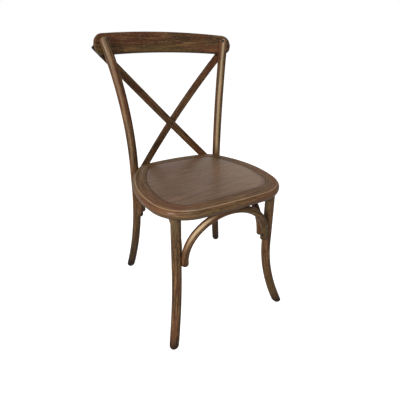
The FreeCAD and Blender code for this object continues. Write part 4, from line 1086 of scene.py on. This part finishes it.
def empty_tree(owner):
    """The node tree of a material or world, with nothing in it."""
    owner.use_nodes = True
    owner.node_tree.nodes.clear()
    return owner.node_tree


def start_material(name):
    """A material with one shader, joined to its output."""
    material = bpy.data.materials.new(name)
    tree = empty_tree(material)
    shader = add_node(tree, "ShaderNodeBsdfPrincipled")
    add_node(tree, "ShaderNodeOutputMaterial", {"Surface": shader.outputs["BSDF"]})
    return material, tree, shader


def dress(tree, shader, colour, grain, roughness, height, relief):
    """Gives the shader its colour, a roughness between two that follows the grain, and a relief."""
    rough = add_node(tree, "ShaderNodeMapRange",
                     {"Value": grain, "From Min": NOISE_LOW, "From Max": NOISE_HIGH,
                      "To Min": roughness[0], "To Max": roughness[1]})
    bump = add_node(tree, "ShaderNodeBump", {"Height": height, "Strength": relief["strength"],
                                             "Distance": relief["depth"] * MM})
    tree.links.new(colour, shader.inputs["Base Color"])
    tree.links.new(rough.outputs["Result"], shader.inputs["Roughness"])
    tree.links.new(bump.outputs["Normal"], shader.inputs["Normal"])


print("a middle grey, linear:", round(linear("#808080")[0], 3))

# %% [markdown]
# ### Stained wood
# The wood is beech or elm stained to a fruitwood brown and lacquered satin. To the eye that is
# long fine streaks, short dark pores, slow drifts from olive brown to reddish brown, lighter wood
# where an edge is rubbed, and a soft gloss. The pattern is drawn in the straight timber's space,
# so that it runs along every bend as real grain does. The tone attribute pulls the colour to bare
# worn wood, which also stands for painted highlights, where it is positive, and to the dark of the
# stain, which also stands for painted shade, where it is negative.

# %% Wood
# Lengths along the grain and widths across it. Streaks and drifts have the size of real ones. The
# pores of beech are well under a millimetre wide, so they are drawn coarser, to show at all.
STREAK, PORE, RED_DRIFT, OLIVE_DRIFT = (90.0, 4.0), (14.0, 1.2), (200.0, 60.0), (150.0, 45.0)
# Bare worn wood, which is also the colour of the painted highlights.
WORN_AND_HIGHLIGHT_COLOUR = linear("#c4ab86")
WOOD_RELIEF = dict(depth=0.25, strength=0.3)
# Lacquer has an index of about 1.5. It is drawn as a small share of a stronger coat instead, which
# gives the rods their bright lines and leaves the wood's own colour clear of haze.
LACQUER_IOR = 2.5


def stained_wood(name, stain, drift=0.5, roughness=0.5, gloss=0.03, coat=0.035, shine=0.36):
    """Layers: dark, base and light streaks, red and olive drifts, pores, rubbed places and painted
    highlights, dark places and painted shade.
    """
    material, tree, shader = start_material(name)
    base, dark, light, red, olive = [linear(colour) for colour in stain]
    place = add_node(tree, "ShaderNodeAttribute", attribute_name="timber").outputs["Vector"]
    tone = add_node(tree, "ShaderNodeAttribute", attribute_name="tone").outputs["Fac"]
    streak = pattern(tree, place, *STREAK, detail=5.0, rough=0.6, distortion=0.4)
    pores = pattern(tree, place, *PORE, detail=3.0, rough=0.6)
    reddish = pattern(tree, place, *RED_DRIFT, detail=2.0)
    greenish = pattern(tree, place, *OLIVE_DRIFT, detail=2.0)
    # Each layer: below, above, the value it follows, where it starts, where it is full, its most.
    colour = lay_over(tree, dark, base, streak, 0.32, 0.6)
    colour = lay_over(tree, colour, light, streak, 0.52, 0.75, 0.8)
    colour = lay_over(tree, colour, red, reddish, 0.46, 0.66, drift)
    colour = lay_over(tree, colour, olive, greenish, 0.48, 0.68, drift)
    colour = lay_over(tree, colour, dark, pores, 0.54, 0.68, 0.65)
    colour = lay_over(tree, colour, light, pores, 0.46, 0.34, 0.4)
    # Positive tone: worn wood and painted highlight. Negative tone: dark stain and painted shade.
    colour = lay_over(tree, colour, WORN_AND_HIGHLIGHT_COLOUR, tone, 0.0, 1.0)
    colour = lay_over(tree, colour, dark, tone, 0.0, -1.0, 0.9)
    height = add_node(tree, "ShaderNodeMath", {0: streak, 1: pores}, operation="SUBTRACT").outputs[0]
    dress(tree, shader, colour, streak, (roughness + 0.06, roughness - 0.05), height, WOOD_RELIEF)
    shader.inputs["Specular IOR Level"].default_value = gloss
    shader.inputs["Coat Weight"].default_value = coat
    shader.inputs["Coat IOR"].default_value = LACQUER_IOR
    shader.inputs["Coat Roughness"].default_value = shine
    return material


# Steam-bent beech with a wiped stain: a deep brown with almost black pores and golden streaks.
frame_wood = stained_wood("fruitwood_stained_beech",
                          ("#583c26", "#0d0703", "#94724a", "#5f3222", "#463d22"))
# The same stain on the ring's broad boards: evener and a little greyer, with a clearer shine.
seat_wood = stained_wood("fruitwood_stained_rim",
                         ("#64482e", "#332115", "#886a46", "#693c28", "#59482a"),
                         drift=0.45, gloss=0.05, coat=0.045, shine=0.25)
# Plywood under the same stain and more lacquer: an almost even greyish brown with a broad shine.
panel_wood = stained_wood("grey_brown_stained_plywood",
                          ("#694c36", "#443022", "#7d6247", "#6a4331", "#5e4c33"),
                          drift=0.45, roughness=0.4, gloss=0.12, coat=0.085, shine=0.22)
print("woods:", [wood.name for wood in (frame_wood, seat_wood, panel_wood)])

# %% [markdown]
# ### Screws and glides
# The screw heads are steel with a black oxide, a thin dark layer that lets a dull metal shine
# through. The glides are moulded polyethylene, dark brown and fine grained. Both are one colour
# broken by a fine grain, so one function makes them.

# %% Steel and plastic
RUBBED_SPOT, GRAIN_RELIEF = "#5c5048", dict(depth=0.1, strength=0.2)


def small_part(name, colour, metallic, roughness, grain_size):
    """One colour, broken by a fine grain in colour, gloss and height."""
    material, tree, shader = start_material(name)
    place = add_node(tree, "ShaderNodeTexCoord").outputs["Object"]
    grain = pattern(tree, place, grain_size, grain_size, detail=4.0)
    colour = lay_over(tree, linear(colour), linear(RUBBED_SPOT), grain, 0.35, 0.7, 0.35)
    dress(tree, shader, colour, grain, (roughness - 0.08, roughness + 0.1), grain, GRAIN_RELIEF)
    shader.inputs["Metallic"].default_value = metallic
    return material


# Blackened steel: almost black, with a dull shine and lighter spots where the oxide is thin.
black_steel = small_part("black_oxide_steel", "#2a2623", 0.9, 0.38, 0.8)
# Moulded polyethylene: dark brown and waxy, with the mould's fine texture.
brown_plastic = small_part("brown_polyethylene", "#1d1613", 0.0, 0.55, 1.5)
print("small parts:", black_steel.name, brown_plastic.name)

# %% [markdown]
# ### Each piece gets its finish
# The record says which slot each node takes its finish from, so the pieces follow the record. Each
# piece stands for its node and belongs to the chair's one body.

# %% Assign the finishes
FINISHES = {"frame_wood": frame_wood, "seat_wood": seat_wood, "panel_wood": panel_wood,
            "screw_steel": black_steel, "glide_plastic": brown_plastic}
slots = {row["node"]: row["material_slot"] for row in frame["record"]["subparts"]}
for node, piece in pieces.items():
    piece.data.materials.clear()
    piece.data.materials.append(FINISHES[slots[node]])
    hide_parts(node)
    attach(piece, "root")
print("slots in use:", sorted({slots[node] for node in pieces}))

# %% [markdown]
# ## Floor and background
# The photograph is a cut-out on white. The floor and the world behind it are seen as full white by
# the camera and in reflections, through the Light Path node, while the light that reaches the
# chair stays plain. The floor is a diffuse paper, which keeps the chair's shadow, with a glow of
# its own added for those rays. The glow is a little weaker near the chair, where the lamps light
# the paper more.

# %% Floor and world
PAPER, WORLD_GREY, WORLD_WHITE = "#c4c2bf", "#f2f1ef", "#ffffff"
WORLD_LIGHT = 0.22
FLOOR_HALF = 30.0
# The glow's strength near the origin and far from it, and the distances in metres.
GLOW_NEAR, GLOW_FAR, NEAR, FAR = 0.93, 1.0, 0.7, 2.2


def seen_white(tree):
    """One where a ray comes from the camera or a mirror or glass, else nothing."""
    path = add_node(tree, "ShaderNodeLightPath").outputs
    shiny = add_node(tree, "ShaderNodeMath",
                     {0: path["Is Glossy Ray"], 1: path["Is Transmission Ray"]}, operation="MAXIMUM")
    seen = add_node(tree, "ShaderNodeMath",
                    {0: path["Is Camera Ray"], 1: shiny.outputs[0]}, operation="MAXIMUM")
    return seen.outputs[0]


def white_floor():
    """Grey-white paper that takes the shadow, with plain light added for what looks at it directly."""
    material = bpy.data.materials.new("white_floor_paper")
    tree = empty_tree(material)
    paper = add_node(tree, "ShaderNodeBsdfDiffuse", {"Color": linear(PAPER)})
    place = add_node(tree, "ShaderNodeNewGeometry").outputs["Position"]
    away = add_node(tree, "ShaderNodeVectorMath", {0: place}, operation="LENGTH").outputs["Value"]
    plain = add_node(tree, "ShaderNodeMapRange", {"Value": away, "From Min": NEAR, "From Max": FAR,
                                                  "To Min": GLOW_NEAR, "To Max": GLOW_FAR})
    level = add_node(tree, "ShaderNodeMath", {0: seen_white(tree), 1: plain.outputs["Result"]},
                     operation="MULTIPLY")
    glow = add_node(tree, "ShaderNodeEmission", {"Strength": level.outputs[0]})
    both = add_node(tree, "ShaderNodeAddShader", {0: paper.outputs[0], 1: glow.outputs[0]})
    add_node(tree, "ShaderNodeOutputMaterial", {"Surface": both.outputs[0]})
    return material


corners = [(x * FLOOR_HALF, y * FLOOR_HALF, 0.0) for x, y in ((-1, -1), (1, -1), (1, 1), (-1, 1))]
floor_mesh = bpy.data.meshes.new("floor")
floor_mesh.from_pydata(corners, [], [(0, 1, 2, 3)])
floor_mesh.materials.append(white_floor())
floor = bpy.data.objects.new("floor", floor_mesh)
bpy.context.scene.collection.objects.link(floor)

world = bpy.data.worlds.new("studio")
bpy.context.scene.world = world
tree = empty_tree(world)
dim = add_node(tree, "ShaderNodeBackground", {"Color": linear(WORLD_GREY), "Strength": WORLD_LIGHT})
white = add_node(tree, "ShaderNodeBackground", {"Color": linear(WORLD_WHITE), "Strength": 1.0})
chosen = add_node(tree, "ShaderNodeMixShader",
                  {0: seen_white(tree), 1: dim.outputs[0], 2: white.outputs[0]})
add_node(tree, "ShaderNodeOutputWorld", {"Surface": chosen.outputs[0]})
print("floor:", 2 * FLOOR_HALF, "m wide, world light:", WORLD_LIGHT)

# %% [markdown]
# ## The lamps
# Three small square lamps light the chair. The strongest stands low at the sitter's right and a
# little in front, so that the rods shine along one side and darken on the other. A weaker one in
# front and above fills the faces, and one behind and above lights the seat and the crest's top.
# The lamps are small for their distance, which keeps the bright lines on the rods narrow.

# %% Lamps
# Places and sizes in metres, powers in watts.
LAMPS = {
    "left_lamp": ((-2.0, -1.16, 1.12), 0.45, 48.0),
    "front_lamp": ((-0.52, -1.61, 2.2), 0.45, 20.0),
    "rear_lamp": ((0.54, 0.94, 2.64), 0.35, 15.0),
}
AIM = Vector((0.0, 0.0, 0.5))

for name, (place, size, power) in LAMPS.items():
    lamp = bpy.data.lights.new(name, "AREA")
    lamp.size, lamp.energy = size, power
    source = bpy.data.objects.new(name, lamp)
    source.location = place
    source.rotation_euler = (AIM - Vector(place)).to_track_quat("-Z", "Y").to_euler()
    bpy.context.scene.collection.objects.link(source)
bpy.context.scene.view_settings.view_transform = "Standard"
print("lamps:", len(LAMPS))
